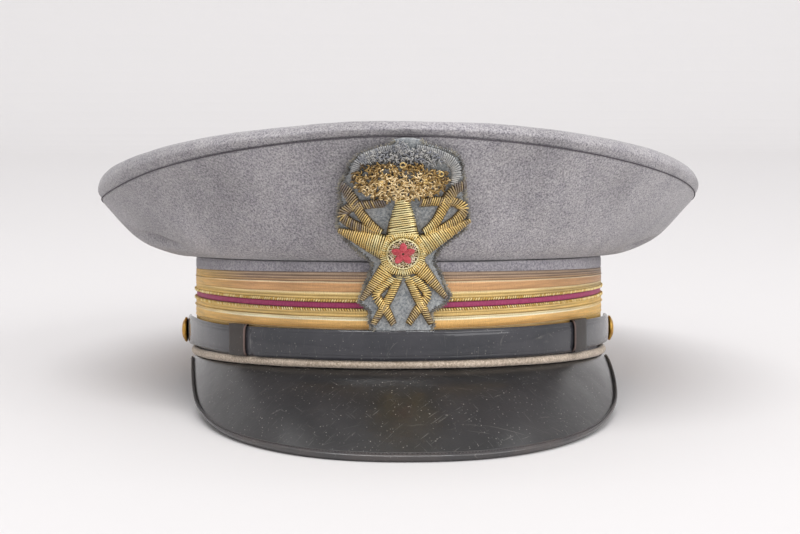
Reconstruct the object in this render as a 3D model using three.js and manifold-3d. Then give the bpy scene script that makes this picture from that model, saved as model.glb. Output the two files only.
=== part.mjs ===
// An officer's peaked cap in grey felt, at its real size, in millimetres, +Z up.
// The front of the cap, with its badge and peak, faces -Y, and +X is the right of a viewer in front.
// The cap lies on a table by itself: it leans back on the rear of its band and on the edge of its peak.
// Every piece is worked out in the cap's own frame, whose origin is the centre of the band's lower edge.
// Angles around the band are in degrees from the front, positive towards +X.
import * as THREE from "three";
import { mergeVertices } from "three/addons/utils/BufferGeometryUtils.js";
import Module from "manifold-3d";

const wasm = await Module();
wasm.setup();

// How the cap stands.
const LEAN = THREE.MathUtils.degToRad(7);
const STAND_HEIGHT = 12.1;
const TABLE = { width: 400, depth: 20 };

// Clearance between pieces, and how finely the rings are divided.
const GAP = 0.3;
const RING_STEPS = 60;

// The band: a cloth wall with an oval plan, for a head about 565 mm round.
const HEAD = { a: 79.6, b: 99.6 };
const BAND_WALL = 3.0;
// Its top is lower at the front, where the crown sags over it.
const BAND_TOP = { front: 38.3, side: 40, back: 40 };
const BAND = { a: HEAD.a + BAND_WALL, b: HEAD.b + BAND_WALL };
const BAND_ROLL = { out: 1.2, foot: 35.1 };

// Two gold laces with a stripe between them, all round the band. Heights are at the front.
const LACE_THICK = 1.1;
const LACE = { a: BAND.a + GAP + LACE_THICK, b: BAND.b + GAP + LACE_THICK };
const LACE_HEIGHTS = { foot: 10.6, stripeFoot: 21.4, stripeTop: 24.4, top: 34.8 };
const LACE_RISE = { front: 0, side: 3.0, back: 3.0 };
const STRIPE_INSET = 0.5;

// The cord-like piping round the foot of the band.
const PIPING_RADIUS = 1.3;
const PIPING_MIDDLE = 1.5;
const PIPING_SIDES = 6;

// The crown: its side flares out from the band to the rim seam, where the top panel rolls over it.
const CROWN_WALL = 1.8;
const CROWN_FOOT = { a: HEAD.a + 1.5, b: HEAD.b + 1.5 };
const RIM = { a: 122.4, b: 132.6 };
const RIM_HEIGHT = { front: 81, side: 61.8, back: 57 };
const CROWN_FLARE = {
  lowOut: { front: 0.26, side: 0.5, back: 0.4 },
  lowHeight: { front: 38.4, side: 39.4, back: 39.6 },
  highOut: { front: 0.6, side: 0.84, back: 0.8 },
  highHeight: { front: 66, side: 48, back: 45 },
};
const CROWN_ROWS = [0, 0.12, 0.28, 0.46, 0.64, 0.82, 1];
const CROWN_INSIDE_ROWS = [1, 0.75, 0.5, 0.25, 0];
const CROWN_NORMAL = { margin: 0.02, turnStep: 0.5, alongStep: 0.01 };

// Soft dents and sags of the crown's side. "along" runs from 0 at the band to 1 at the rim.
const CROWN_FOLDS = [
  { angle: -92, along: 0.4, depth: 3.2, halfAngle: 6, halfAlong: 0.16, slant: -40 },
  { angle: 91, along: 0.38, depth: 2.8, halfAngle: 6, halfAlong: 0.15, slant: 40 },
  { angle: -112, along: 0.4, depth: -1.0, halfAngle: 13, halfAlong: 0.25, slant: 0 },
  { angle: 110, along: 0.4, depth: -1.0, halfAngle: 13, halfAlong: 0.25, slant: 0 },
  { angle: -28, along: 0.45, depth: 1.4, halfAngle: 9, halfAlong: 0.25, slant: 0 },
  { angle: 30, along: 0.4, depth: 1.2, halfAngle: 10, halfAlong: 0.25, slant: 0 },
  { angle: 160, along: 0.4, depth: 1.8, halfAngle: 12, halfAlong: 0.22, slant: 15 },
];

// The top panel from the seam inwards: semi-axis across the cap, and rise above the seam's plane.
// The panel's roll stands higher at the sides than at the front.
const TOP_PROFILE = [
  { across: 122.4, rise: 0.3 },
  { across: 123.7, rise: 2.4 },
  { across: 123.2, rise: 4.2 },
  { across: 121.4, rise: 5.9 },
  { across: 118.0, rise: 6.9 },
  { across: 111, rise: 7.2 },
  { across: 88, rise: 6.4 },
  { across: 56, rise: 5.2 },
  { across: 26, rise: 4.6 },
  { across: 0, rise: 4.4 },
];
const TOP_INSIDE_ROWS = [0, 2, 4, 7, 9];
const ROLL_SCALE = { front: 1.1, side: 1.35, back: 1.2 };

// The peak: a leather sheet sewn under the band, with its outer edge near the table.
const PEAK_THICK = 1.3;
const PEAK_STEPS = 34;
const PEAK_ROWS = [0.35, 0.7, 0.92, 1];
const PEAK_TURN = 86;
const PEAK_ROOT_TURN = 80;
const PEAK_FLANGE = { a: HEAD.a + 1.2, b: HEAD.b + 1.2 };
const PEAK_ROOT = { a: BAND.a + 1.4, b: BAND.b + 1.4 };
const PEAK_EDGE = { across: 85, shift: 1.6, centre: -12, reach: 132.8, squareX: 0.88, squareY: 0.83 };
const PEAK_EDGE_HEIGHT = 0.8;
const PEAK_CORNER = { from: 46, rise: 12.2, power: 1.9 };
const PEAK_EAR = { from: 66, out: 1.4, height: -3.0 };
const PEAK_CROWNING = 1.6;
const PEAK_FRAME_STEP = { turn: 0.5, along: 0.01 };

// The leather strip folded round the peak's edge.
const BINDING_THICK = 0.6;
const BINDING_GAP = 0.3;
const BINDING_WIDTH = 2.2;
const BINDING_END_WIDTH = 1.3;

// The chin strap is two leather straps that lie over each other at the front.
// "out" is the back of the strap beyond the lace, "middle" the height of its centre line, and "half"
// half its width, which grows towards the buttons.
const STRAP_THICK = 1.1;
const STRAP_STEPS = 34;
const STRAP_INNER = [
  { angle: -94.6, out: 3.2, middle: 9.0, half: 6.1 },
  { angle: -90, out: 2.7, middle: 9.2, half: 6.1 },
  { angle: -80, out: 1.2, middle: 9.5, half: 5.8 },
  { angle: -66, out: 0.4, middle: 9.2, half: 5.3 },
  { angle: -52, out: 1.1, middle: 8.9, half: 5.2 },
  { angle: -43, out: 1.1, middle: 8.8, half: 5.2 },
  { angle: -39.5, out: 0.3, middle: 8.8, half: 5.2 },
  { angle: 0, out: 0.3, middle: 8.5, half: 5.2 },
  { angle: 46.5, out: 0.3, middle: 9.3, half: 5.2 },
];
const STRAP_OUTER = [
  { angle: -41.5, out: 2.4, middle: 8.8, half: 5.3 },
  { angle: -36, out: 1.7, middle: 8.8, half: 5.3 },
  { angle: 0, out: 1.7, middle: 8.5, half: 5.3 },
  { angle: 44, out: 1.7, middle: 9.3, half: 5.3 },
  { angle: 60, out: 1.4, middle: 10.0, half: 5.3 },
  { angle: 80, out: 1.7, middle: 9.8, half: 5.6 },
  { angle: 90, out: 2.5, middle: 9.3, half: 5.8 },
  { angle: 94.6, out: 2.9, middle: 9.0, half: 5.8 },
];
// A strap's hidden end is rounded over its last few millimetres.
const STRAP_END_LENGTH = 4.2;
const STRAP_TIP_SHARES = [0, 0.15, 0.45];
const STRAP_TIP_ROUND = 0.92;
const DEGREES_PER_MM = 0.55;

// Leather loops that hold the straps together.
const SLIDER_WALL = 0.5;
const SLIDER_STEPS = 6;
const SLIDER_CUT_ANGLE = 1;
const SLIDERS = {
  slider_left: { from: -49.4, to: -43.4, strap: STRAP_INNER },
  slider_right: { from: 48.8, to: 54.8, strap: STRAP_OUTER },
};

// The badge is embroidered in bullion wire on a stiff patch of grey cloth.
// Its places are given as seen from the front: "x" across the cap and "z" up the cap.
// The patch's back lies "out" beyond the lace and follows the crown, whose plan widens faster sideways.
const PATCH_BACK = [
  { z: 13, out: 0.7 },
  { z: 30, out: 0.7 },
  { z: 37, out: 1.1 },
  { z: 41, out: 2.4 },
  { z: 44, out: 4.6 },
  { z: 47, out: 6.9 },
  { z: 55, out: 12.1 },
  { z: 66, out: 19.1 },
  { z: 81.5, out: 30.2 },
];
const PATCH_SIDE_GROWTH = 1.29;
const PATCH_CURL = 0.0016;
const PATCH_THICK = 1.5;
const PATCH_COLUMNS = 5;
const PATCH_STEP = 1;
const PATCH_OUTLINE = [
  { z: 14.2, left: -12.6, right: 10.3 },
  { z: 20.5, left: -13.3, right: 10.8 },
  { z: 23.4, left: -16.2, right: 15.2 },
  { z: 29.5, left: -14.9, right: 15.4 },
  { z: 36.5, left: -11.9, right: 11.4 },
  { z: 40.5, left: -14.6, right: 11.0 },
  { z: 45.5, left: -20.4, right: 15.5 },
  { z: 50, left: -23.8, right: 21.2 },
  { z: 54, left: -24.6, right: 22.6 },
  { z: 60, left: -23.4, right: 21.6 },
  { z: 66, left: -23.8, right: 20.9 },
  { z: 71, left: -21.0, right: 19.8 },
  { z: 75, left: -17.8, right: 17.2 },
  { z: 78, left: -9.0, right: 10.5 },
  { z: 79.6, left: -4.4, right: 3.2 },
  { z: 81.2, left: -2.4, right: -0.8 },
];

// Each strand of bullion is a padded bar along a few points, with its half width at each.
const HUB = { x: -0.7, z: 41.3, radius: 7.8, rise: 2.4, sides: 16 };
const STAR_ARMS = [
  [{ x: -0.7, z: 41.3, half: 6.6 }, { x: -1.0, z: 50.4, half: 5.4 }, { x: -1.1, z: 59.6, half: 2.3 }],
  [{ x: -0.7, z: 41.3, half: 6 }, { x: -10.2, z: 44.9, half: 4.1 }, { x: -23.4, z: 50.0, half: 0.8 }],
  [{ x: -0.7, z: 41.3, half: 6 }, { x: 8.4, z: 45.6, half: 3.7 }, { x: 22.4, z: 53.2, half: 0.8 }],
  [{ x: -0.7, z: 41.3, half: 5 }, { x: -7.4, z: 34.6, half: 2.8 }, { x: -15.2, z: 24.9, half: 0.9 }],
  [{ x: -0.7, z: 41.3, half: 5 }, { x: 6.4, z: 35.2, half: 2.7 }, { x: 14.8, z: 25.3, half: 0.9 }],
];
const STRAND_SECTION = [[-1, 0], [-0.6, 0.9], [0.6, 0.9], [1, 0]];
const STRAND_RISE = 0.75;
const STRAND_HIGHEST = 3;
const SERPENTS = {
  badge_serpent_left: [
    [
      { x: -22.3, z: 65.2, half: 0.9 },
      { x: -18.6, z: 61.4, half: 1.8 },
      { x: -16.2, z: 56.8, half: 1.8 },
      { x: -12.8, z: 52.4, half: 1.8 },
      { x: -8.6, z: 48.6, half: 1.8 },
    ],
    [
      { x: -7.4, z: 59.6, half: 1.7 },
      { x: -14, z: 58.8, half: 1.6 },
      { x: -19.6, z: 57.8, half: 1.8 },
      { x: -21.8, z: 55.0, half: 1.9 },
      { x: -18.6, z: 52.1, half: 1.9 },
      { x: -13.8, z: 49.9, half: 1.9 },
      { x: -9.4, z: 47.8, half: 1.9 },
    ],
  ],
  badge_serpent_right: [
    [
      { x: 20.2, z: 65.4, half: 0.9 },
      { x: 15.4, z: 62.6, half: 2.0 },
      { x: 13.0, z: 57.3, half: 1.9 },
      { x: 10.6, z: 52.8, half: 1.8 },
      { x: 6.8, z: 48.8, half: 1.8 },
    ],
    [
      { x: 5.2, z: 59.6, half: 1.7 },
      { x: 11, z: 60.0, half: 1.7 },
      { x: 17.4, z: 59.6, half: 1.8 },
      { x: 20.3, z: 57.2, half: 1.9 },
      { x: 17.6, z: 53.2, half: 1.9 },
      { x: 12.7, z: 50.1, half: 1.9 },
      { x: 8.2, z: 47.9, half: 1.9 },
    ],
  ],
};
const TAILS = {
  badge_tails_left: [
    [
      { x: -2.2, z: 32.0, half: 1.4 },
      { x: -6.0, z: 24.6, half: 1.7 },
      { x: -11.2, z: 16.0, half: 1.1 },
    ],
    [
      { x: -5.6, z: 31.0, half: 1.6 },
      { x: -10.0, z: 26.8, half: 1.7 },
      { x: -6.6, z: 21.2, half: 1.7 },
      { x: -4.0, z: 16.0, half: 1.2 },
    ],
  ],
  badge_tails_right: [
    [
      { x: 1.2, z: 32.0, half: 1.4 },
      { x: 5.2, z: 24.2, half: 1.7 },
      { x: 9.4, z: 16.0, half: 1.1 },
    ],
    [
      { x: 4.2, z: 31.4, half: 1.6 },
      { x: 7.9, z: 26.8, half: 1.7 },
      { x: 4.2, z: 20.8, half: 1.7 },
      { x: 1.2, z: 16.0, half: 1.2 },
    ],
  ],
};
const DISC_BASE = PATCH_THICK + STRAND_HIGHEST + 3 * GAP;
const DISC = { radius: 5.0, rise: 1.0, dome: 0.6, sides: 20 };
const ROSETTE = { petals: 5, reach: 3.9, waist: 1.7, rise: 0.6, dome: 0.2, sides: 30 };
// A cushion's top has one ring on its slope, at this share of the way out and of the dome's fall.
const CUSHION_SLOPE = { share: 0.6, fall: 0.3 };

// The coronet above the star: a padded oval with four tarnished arches that meet under an orb.
const CORONET = { x: -1.8, z: 66.6, across: 15.6, up: 5.4, rise: 2.6, dome: 1.2, sides: 20 };
const ARCH_FEET = [-13.5, -8, 4.5, 10.2];
const ARCH = { footZ: 69, crestZ: 73.8, meetX: -1.8, meetZ: 76.4, half: 1.5 };
const ORB = { x: -1.8, z: 78.2, radius: 1.7, sides: 10 };

// Gilt buttons on the strap's ends.
const BUTTON_ANGLE = 90;
const BUTTON_HEIGHT = 9.0;
const BUTTON = { radius: 5.2, rim: 0.8, dome: 2.4, steps: 5, sides: 16 };

// Wool and leather, gold and gilt.
const FELT = { color: "#8f8d93", roughness: 0.95, metalness: 0 };
const BAND_CLOTH = { color: "#77808a", roughness: 0.95, metalness: 0 };
const GOLD_LACE = { color: "#c69a3e", roughness: 0.45, metalness: 0.7 };
const MAROON = { color: "#8e3a63", roughness: 0.8, metalness: 0 };
const BEIGE = { color: "#a79d8c", roughness: 0.95, metalness: 0 };
const BLACK_LEATHER = { color: "#1c1b1c", roughness: 0.4, metalness: 0 };
const BROWN_LEATHER = { color: "#2a211e", roughness: 0.5, metalness: 0 };
const GILT = { color: "#c99a3b", roughness: 0.3, metalness: 1 };
const BULLION = { color: "#b8934a", roughness: 0.4, metalness: 0.8 };
const TARNISHED = { color: "#8f8156", roughness: 0.5, metalness: 0.7 };
const PALE_BULLION = { color: "#c9b68d", roughness: 0.5, metalness: 0.5 };
const RED_SILK = { color: "#c8343f", roughness: 0.6, metalness: 0 };

// From the cap's frame to the table's frame, and back.
const stand = new THREE.Matrix4()
  .makeTranslation(0, 0, STAND_HEIGHT)
  .multiply(new THREE.Matrix4().makeRotationX(-LEAN));
const unstand = stand.clone().invert();

// A value that is given at the front, side and back, and turns smoothly between them.
function around(value, angle) {
  const turn = THREE.MathUtils.degToRad(angle);
  const mean = (value.front + value.back) / 2;
  const once = (value.front - value.back) / 2;
  const twice = (mean - value.side) / 2;
  return value.side + twice + once * Math.cos(turn) + twice * Math.cos(2 * turn);
}

// A smooth curve through a column of a table, at the value x of its key column.
function through(rows, key, column, x) {
  const last = rows.length - 1;
  let i = 0;
  while (i < last - 1 && x > rows[i + 1][key]) i += 1;
  const slope = (j) => {
    const low = rows[Math.max(j - 1, 0)];
    const high = rows[Math.min(j + 1, last)];
    return (high[column] - low[column]) / (high[key] - low[key]);
  };
  const span = rows[i + 1][key] - rows[i][key];
  const u = THREE.MathUtils.clamp((x - rows[i][key]) / span, 0, 1);
  const start = rows[i][column];
  const rise = rows[i + 1][column] - start;
  const bend = (slope(i) * span - rise) * (1 - u) - (slope(i + 1) * span - rise) * u;
  return start + rise * u + u * (1 - u) * bend;
}

function widen(ring, out) {
  return { a: ring.a + out, b: ring.b + out };
}

function onRing(ring, angle, z) {
  const turn = THREE.MathUtils.degToRad(angle);
  return new THREE.Vector3(ring.a * Math.sin(turn), -ring.b * Math.cos(turn), z);
}

function anglesBetween(from, to, steps) {
  return Array.from({ length: steps + 1 }, (_, i) => from + ((to - from) * i) / steps);
}

function fullTurn() {
  return anglesBetween(-180, 180, RING_STEPS).slice(0, RING_STEPS);
}

// The triangles that close a flat polygon, all turning the way that the polygon does.
function capTriangles(points) {
  const normal = new THREE.Vector3();
  points.forEach((p, i) => {
    normal.add(new THREE.Vector3().crossVectors(p, points[(i + 1) % points.length]));
  });
  normal.normalize();
  const across = new THREE.Vector3().subVectors(points[1], points[0]);
  across.addScaledVector(normal, -across.dot(normal)).normalize();
  const upward = new THREE.Vector3().crossVectors(normal, across);
  const flat = points.map((p) => new THREE.Vector2(p.dot(across), p.dot(upward)));
  return THREE.ShapeUtils.triangulateShape(flat, []).map(([i, j, k]) => {
    const turn = THREE.ShapeUtils.area([flat[i], flat[j], flat[k]]);
    return turn > 0 ? [i, j, k] : [i, k, j];
  });
}

// A closed skin over a row of sections with equal numbers of corners: a ring, or a bar with two ends.
function loft(sections, isRing = false) {
  const corners = sections[0].length;
  const index = [];
  const joints = isRing ? sections.length : sections.length - 1;
  for (let i = 0; i < joints; i += 1) {
    const here = i * corners;
    const next = ((i + 1) % sections.length) * corners;
    for (let j = 0; j < corners; j += 1) {
      const k = (j + 1) % corners;
      index.push(here + j, next + j, next + k, here + j, next + k, here + k);
    }
  }
  if (!isRing) {
    const end = (sections.length - 1) * corners;
    capTriangles(sections[0]).forEach(([i, j, k]) => index.push(i, j, k));
    capTriangles(sections.at(-1)).forEach(([i, j, k]) => index.push(end + i, end + k, end + j));
  }
  return solidOf(sections.flat(), index);
}

// A manifold solid from corners and triangles, merged, without flat triangles, and facing out.
function solidOf(points, index) {
  const geometry = new THREE.BufferGeometry().setFromPoints(points);
  geometry.setIndex(index);
  return solidOfGeometry(geometry);
}

function solidOfGeometry(geometry) {
  geometry.deleteAttribute("normal");
  geometry.deleteAttribute("uv");
  const merged = mergeVertices(geometry, 1e-4);
  const kept = [];
  for (let i = 0; i < merged.index.count; i += 3) {
    const [a, b, c] = [0, 1, 2].map((j) => merged.index.getX(i + j));
    if (a !== b && b !== c && c !== a) kept.push(a, b, c);
  }
  const build = (order) =>
    new wasm.Manifold(
      new wasm.Mesh({
        numProp: 3,
        vertProperties: new Float32Array(merged.attributes.position.array),
        triVerts: new Uint32Array(order),
      }),
    );
  const made = build(kept);
  return made.volume() > 0 ? made : build(kept.reverse());
}

function largestBody(solid) {
  return solid.decompose().sort((p, q) => q.volume() - p.volume())[0];
}

function geometryOf(solid) {
  const mesh = solid.getMesh();
  const geometry = new THREE.BufferGeometry();
  geometry.setAttribute("position", new THREE.BufferAttribute(mesh.vertProperties, 3));
  geometry.setIndex(new THREE.BufferAttribute(mesh.triVerts, 1));
  return geometry;
}

// The unit normal of a surface given as a function of two values. It turns with the order of the two.
function normalAt(surface, u, v, du, dv) {
  const alongU = surface(u + du, v).sub(surface(u - du, v));
  const alongV = surface(u, v + dv).sub(surface(u, v - dv));
  return new THREE.Vector3().crossVectors(alongU, alongV).normalize();
}

// A ring with a four-cornered section between two heights, which may change round the cap.
function hoop(inside, outside, foot, top) {
  const sections = fullTurn().map((angle) => [
    onRing(inside, angle, foot(angle)),
    onRing(outside, angle, foot(angle)),
    onRing(outside, angle, top(angle)),
    onRing(inside, angle, top(angle)),
  ]);
  return loft(sections, true);
}

// Everything below the table, in the cap's frame: what rests on the table is flattened by it.
function belowTable() {
  const slab = new THREE.BoxGeometry(TABLE.width, TABLE.width, TABLE.depth);
  slab.translate(0, 0, -TABLE.depth / 2);
  slab.applyMatrix4(unstand);
  return solidOfGeometry(slab);
}

// The band, whose cloth rolls out over the upper lace, then its laces and the stripe between them.
function makeBand() {
  const roll = widen(BAND, BAND_ROLL.out);
  const sections = fullTurn().map((angle) => [
    onRing(HEAD, angle, 0),
    onRing(BAND, angle, 0),
    onRing(BAND, angle, BAND_ROLL.foot),
    onRing(roll, angle, BAND_ROLL.foot),
    onRing(roll, angle, around(BAND_TOP, angle)),
    onRing(HEAD, angle, around(BAND_TOP, angle)),
  ]);
  return loft(sections, true).subtract(belowTable());
}

function laceHeight(name) {
  return (angle) => LACE_HEIGHTS[name] + around(LACE_RISE, angle);
}

function makeLaceUpper() {
  const foot = (angle) => laceHeight("stripeTop")(angle) + GAP / 2;
  return hoop(widen(BAND, GAP), LACE, foot, () => LACE_HEIGHTS.top);
}

function makeStripe() {
  const foot = (angle) => laceHeight("stripeFoot")(angle) + GAP / 2;
  const top = (angle) => laceHeight("stripeTop")(angle) - GAP / 2;
  return hoop(widen(BAND, GAP), widen(LACE, -STRIPE_INSET), foot, top);
}

function makeLaceLower() {
  const top = (angle) => laceHeight("stripeFoot")(angle) - GAP / 2;
  return hoop(widen(BAND, GAP), LACE, laceHeight("foot"), top);
}

function makePiping() {
  const middle = widen(BAND, GAP + PIPING_RADIUS);
  const corners = anglesBetween(0, 360, PIPING_SIDES).slice(0, PIPING_SIDES);
  const sections = fullTurn().map((angle) =>
    corners.map((corner) => {
      const turn = THREE.MathUtils.degToRad(corner + 180 / PIPING_SIDES);
      const ring = widen(middle, PIPING_RADIUS * Math.cos(turn));
      return onRing(ring, angle, PIPING_MIDDLE + PIPING_RADIUS * Math.sin(turn));
    }),
  );
  return loft(sections, true).subtract(belowTable());
}

// The crown's side. A cubic curve leads from the band's top to the rim at every angle.
function bezier(values, t) {
  const s = 1 - t;
  const [p, q, r, u] = values;
  return s * s * s * p + 3 * s * s * t * q + 3 * s * t * t * r + t * t * t * u;
}

function foldDepth(angle, along) {
  return CROWN_FOLDS.reduce((sum, fold) => {
    const centre = fold.angle + fold.slant * (along - fold.along);
    const turn = ((angle - centre + 540) % 360) - 180;
    const spread = (turn / fold.halfAngle) ** 2 + ((along - fold.along) / fold.halfAlong) ** 2;
    return sum + fold.depth * Math.exp(-spread);
  }, 0);
}

function crownSidePlain(angle, along) {
  const out = bezier(
    [0, around(CROWN_FLARE.lowOut, angle), around(CROWN_FLARE.highOut, angle), 1],
    along,
  );
  const foot = around(BAND_TOP, angle) + GAP;
  const low = around(CROWN_FLARE.lowHeight, angle);
  const high = around(CROWN_FLARE.highHeight, angle);
  const z = bezier([foot, low, high, around(RIM_HEIGHT, angle)], along);
  const ring = {
    a: CROWN_FOOT.a + out * (RIM.a - CROWN_FOOT.a),
    b: CROWN_FOOT.b + out * (RIM.b - CROWN_FOOT.b),
  };
  return onRing(ring, angle, Math.max(z, foot));
}

function crownSideNormal(angle, along) {
  const { margin, turnStep, alongStep } = CROWN_NORMAL;
  const inside = THREE.MathUtils.clamp(along, margin, 1 - margin);
  return normalAt(crownSidePlain, angle, inside, turnStep, alongStep);
}

function crownSide(angle, along) {
  const fade = Math.sin(Math.PI * along);
  const depth = foldDepth(angle, along) * fade;
  return crownSidePlain(angle, along).addScaledVector(crownSideNormal(angle, along), -depth);
}

function crownSideInside(angle, along) {
  const normal = crownSideNormal(angle, along);
  if (along === 0) return crownSide(angle, along).add(new THREE.Vector3(0, 0, CROWN_WALL));
  if (along < 1) return crownSide(angle, along).addScaledVector(normal, -CROWN_WALL);
  const level = new THREE.Vector3(normal.x, normal.y, 0);
  return crownSide(angle, along).addScaledVector(level, -CROWN_WALL / level.lengthSq());
}

function makeCrownSide() {
  const sections = fullTurn().map((angle) => [
    ...CROWN_ROWS.map((along) => crownSide(angle, along)),
    ...CROWN_INSIDE_ROWS.map((along) => crownSideInside(angle, along)),
  ]);
  return loft(sections, true);
}

// The crown's top panel, whose height follows the rim and flattens towards the middle.
function onTop(angle, row) {
  const share = row.across / RIM.a;
  const turn = THREE.MathUtils.degToRad(angle);
  const mean = (RIM_HEIGHT.front + RIM_HEIGHT.back) / 2;
  const once = (RIM_HEIGHT.front - RIM_HEIGHT.back) / 2;
  const twice = (mean - RIM_HEIGHT.side) / 2;
  const tilt = once * share * Math.cos(turn) + twice * share * share * Math.cos(2 * turn);
  const scale = 1 + (around(ROLL_SCALE, angle) - 1) * share * share;
  const z = RIM_HEIGHT.side + twice + tilt + row.rise * scale;
  return onRing({ a: row.across, b: share * RIM.b }, angle, z);
}

// Some rows of the same profile, one wall thickness further in.
function insideOfTop() {
  return TOP_INSIDE_ROWS.map((i) => {
    const row = TOP_PROFILE[i];
    if (i === 0) return { across: row.across - CROWN_WALL, rise: row.rise };
    const before = TOP_PROFILE[i - 1];
    const after = TOP_PROFILE[i + 1] ?? { across: -before.across, rise: before.rise };
    const slope = new THREE.Vector2(after.across - before.across, after.rise - before.rise);
    slope.normalize();
    const across = row.across - CROWN_WALL * slope.y;
    return { across: Math.max(across, 0), rise: row.rise + CROWN_WALL * slope.x };
  });
}

function makeCrownTop() {
  const inside = insideOfTop().toReversed();
  const sections = fullTurn().map((angle) =>
    [...TOP_PROFILE, ...inside].map((row) => onTop(angle, row)),
  );
  return loft(sections, true);
}

// The peak. "turn" runs from -PEAK_TURN to PEAK_TURN, "along" from 0 at the band to 1 at the edge.
function peakRoot(turn) {
  const angle = (turn * PEAK_ROOT_TURN) / PEAK_TURN;
  return onRing(PEAK_ROOT, angle, -GAP - PEAK_THICK / 2);
}

function peakEdge(turn) {
  const bend = THREE.MathUtils.degToRad(turn);
  const corner = Math.max(Math.abs(turn) - PEAK_CORNER.from, 0) / (90 - PEAK_CORNER.from);
  const sideways = Math.sign(turn) * Math.abs(Math.sin(bend)) ** PEAK_EDGE.squareX;
  const forward = Math.max(Math.cos(bend), 0) ** PEAK_EDGE.squareY;
  const edge = new THREE.Vector3(
    PEAK_EDGE.shift + PEAK_EDGE.across * sideways,
    PEAK_EDGE.centre - PEAK_EDGE.reach * forward,
    PEAK_EDGE_HEIGHT + PEAK_CORNER.rise * corner ** PEAK_CORNER.power,
  );
  const earAngle = (turn * PEAK_ROOT_TURN) / PEAK_TURN;
  const ear = onRing(widen(PEAK_ROOT, PEAK_EAR.out), earAngle, PEAK_EAR.height);
  const share = Math.max(Math.abs(turn) - PEAK_EAR.from, 0) / (PEAK_TURN - PEAK_EAR.from);
  return edge.applyMatrix4(unstand).lerp(ear, share * share);
}

function peakMiddle(turn, along) {
  const point = peakRoot(turn).lerp(peakEdge(turn), along);
  point.z += PEAK_CROWNING * Math.sin(Math.PI * along) * Math.cos(THREE.MathUtils.degToRad(turn));
  return point;
}

// The way out along the leather and the way up from it, at right angles to each other.
function peakFrame(turn, along) {
  const step = PEAK_FRAME_STEP;
  const further = peakMiddle(turn, along + step.along);
  const outward = further.sub(peakMiddle(turn, along - step.along)).normalize();
  const rightward = peakMiddle(turn + step.turn, along);
  const sideways = rightward.sub(peakMiddle(turn - step.turn, along));
  const up = new THREE.Vector3().crossVectors(outward, sideways).normalize();
  return { outward, up };
}

function peakTurns() {
  return anglesBetween(-PEAK_TURN, PEAK_TURN, PEAK_STEPS);
}

function makePeak() {
  const half = PEAK_THICK / 2;
  const inset = BINDING_GAP + BINDING_THICK;
  const sections = peakTurns().map((turn) => {
    const rootAngle = (turn * PEAK_ROOT_TURN) / PEAK_TURN;
    const flange = onRing(PEAK_FLANGE, rootAngle, -GAP - half);
    const end = 1 - inset / peakRoot(turn).distanceTo(peakEdge(turn));
    const rows = PEAK_ROWS.map((share) => share * end);
    const middle = [flange, peakRoot(turn), ...rows.map((along) => peakMiddle(turn, along))];
    const level = { up: new THREE.Vector3(0, 0, 1) };
    const frames = [level, level, ...rows.map((along) => peakFrame(turn, along))];
    const top = middle.map((p, i) => p.clone().addScaledVector(frames[i].up, half));
    const under = middle.map((p, i) => p.clone().addScaledVector(frames[i].up, -half));
    return [...top, ...under.toReversed()];
  });
  return loft(sections);
}

function makePeakBinding() {
  const inner = PEAK_THICK / 2 + BINDING_GAP;
  const outer = inner + BINDING_THICK;
  const chamfer = BINDING_THICK;
  const sections = peakTurns().map((turn) => {
    const { outward, up } = peakFrame(turn, 1);
    const edge = peakMiddle(turn, 1);
    const share = (Math.abs(turn) / PEAK_TURN) ** 4;
    const width = THREE.MathUtils.lerp(BINDING_WIDTH, BINDING_END_WIDTH, share);
    const corner = (out, rise) =>
      edge.clone().addScaledVector(outward, out).addScaledVector(up, rise);
    return [
      corner(-width, outer),
      corner(-chamfer, outer),
      corner(0, outer - chamfer),
      corner(0, chamfer - outer),
      corner(-chamfer, -outer),
      corner(-width, -outer),
      corner(-width, -inner),
      corner(-BINDING_THICK, -inner),
      corner(-BINDING_THICK, inner),
      corner(-width, inner),
    ];
  });
  return loft(sections).subtract(belowTable());
}

// A strap's section at one angle, narrowed by its rounded end.
function strapSection(rows, angle, roundEnd) {
  const out = through(rows, "angle", "out", angle);
  const middle = through(rows, "angle", "middle", angle);
  const toEnd = Math.abs(angle - roundEnd) / DEGREES_PER_MM;
  const short = 1 - Math.min(toEnd / STRAP_END_LENGTH, 1);
  const half = through(rows, "angle", "half", angle) * Math.sqrt(1 - STRAP_TIP_ROUND * short * short);
  const back = widen(LACE, out);
  const front = widen(back, STRAP_THICK);
  return [
    onRing(back, angle, middle - half),
    onRing(front, angle, middle - half),
    onRing(front, angle, middle + half),
    onRing(back, angle, middle + half),
  ];
}

function makeStrap(rows, roundEnd) {
  const from = rows[0].angle;
  const to = rows.at(-1).angle;
  const tip = Math.sign(roundEnd) * STRAP_END_LENGTH * DEGREES_PER_MM;
  const nearEnd = STRAP_TIP_SHARES.map((share) => roundEnd - tip * share);
  const first = roundEnd < 0 ? roundEnd - tip : from;
  const last = roundEnd < 0 ? to : roundEnd - tip;
  const rest = anglesBetween(first, last, STRAP_STEPS);
  const angles = [...nearEnd, ...rest].sort((p, q) => p - q);
  return loft(angles.map((angle) => strapSection(rows, angle, roundEnd)));
}

// A leather loop round a strap: a block that follows the band, less the room for the strap.
function bandBlock(strap, from, to, clear) {
  const sections = anglesBetween(from, to, SLIDER_STEPS).map((angle) => {
    const out = through(strap, "angle", "out", angle);
    const middle = through(strap, "angle", "middle", angle);
    const half = through(strap, "angle", "half", angle) + clear;
    const back = widen(LACE, out - clear);
    const front = widen(LACE, out + STRAP_THICK + clear);
    return [
      onRing(back, angle, middle - half),
      onRing(front, angle, middle - half),
      onRing(front, angle, middle + half),
      onRing(back, angle, middle + half),
    ];
  });
  return loft(sections);
}

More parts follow.
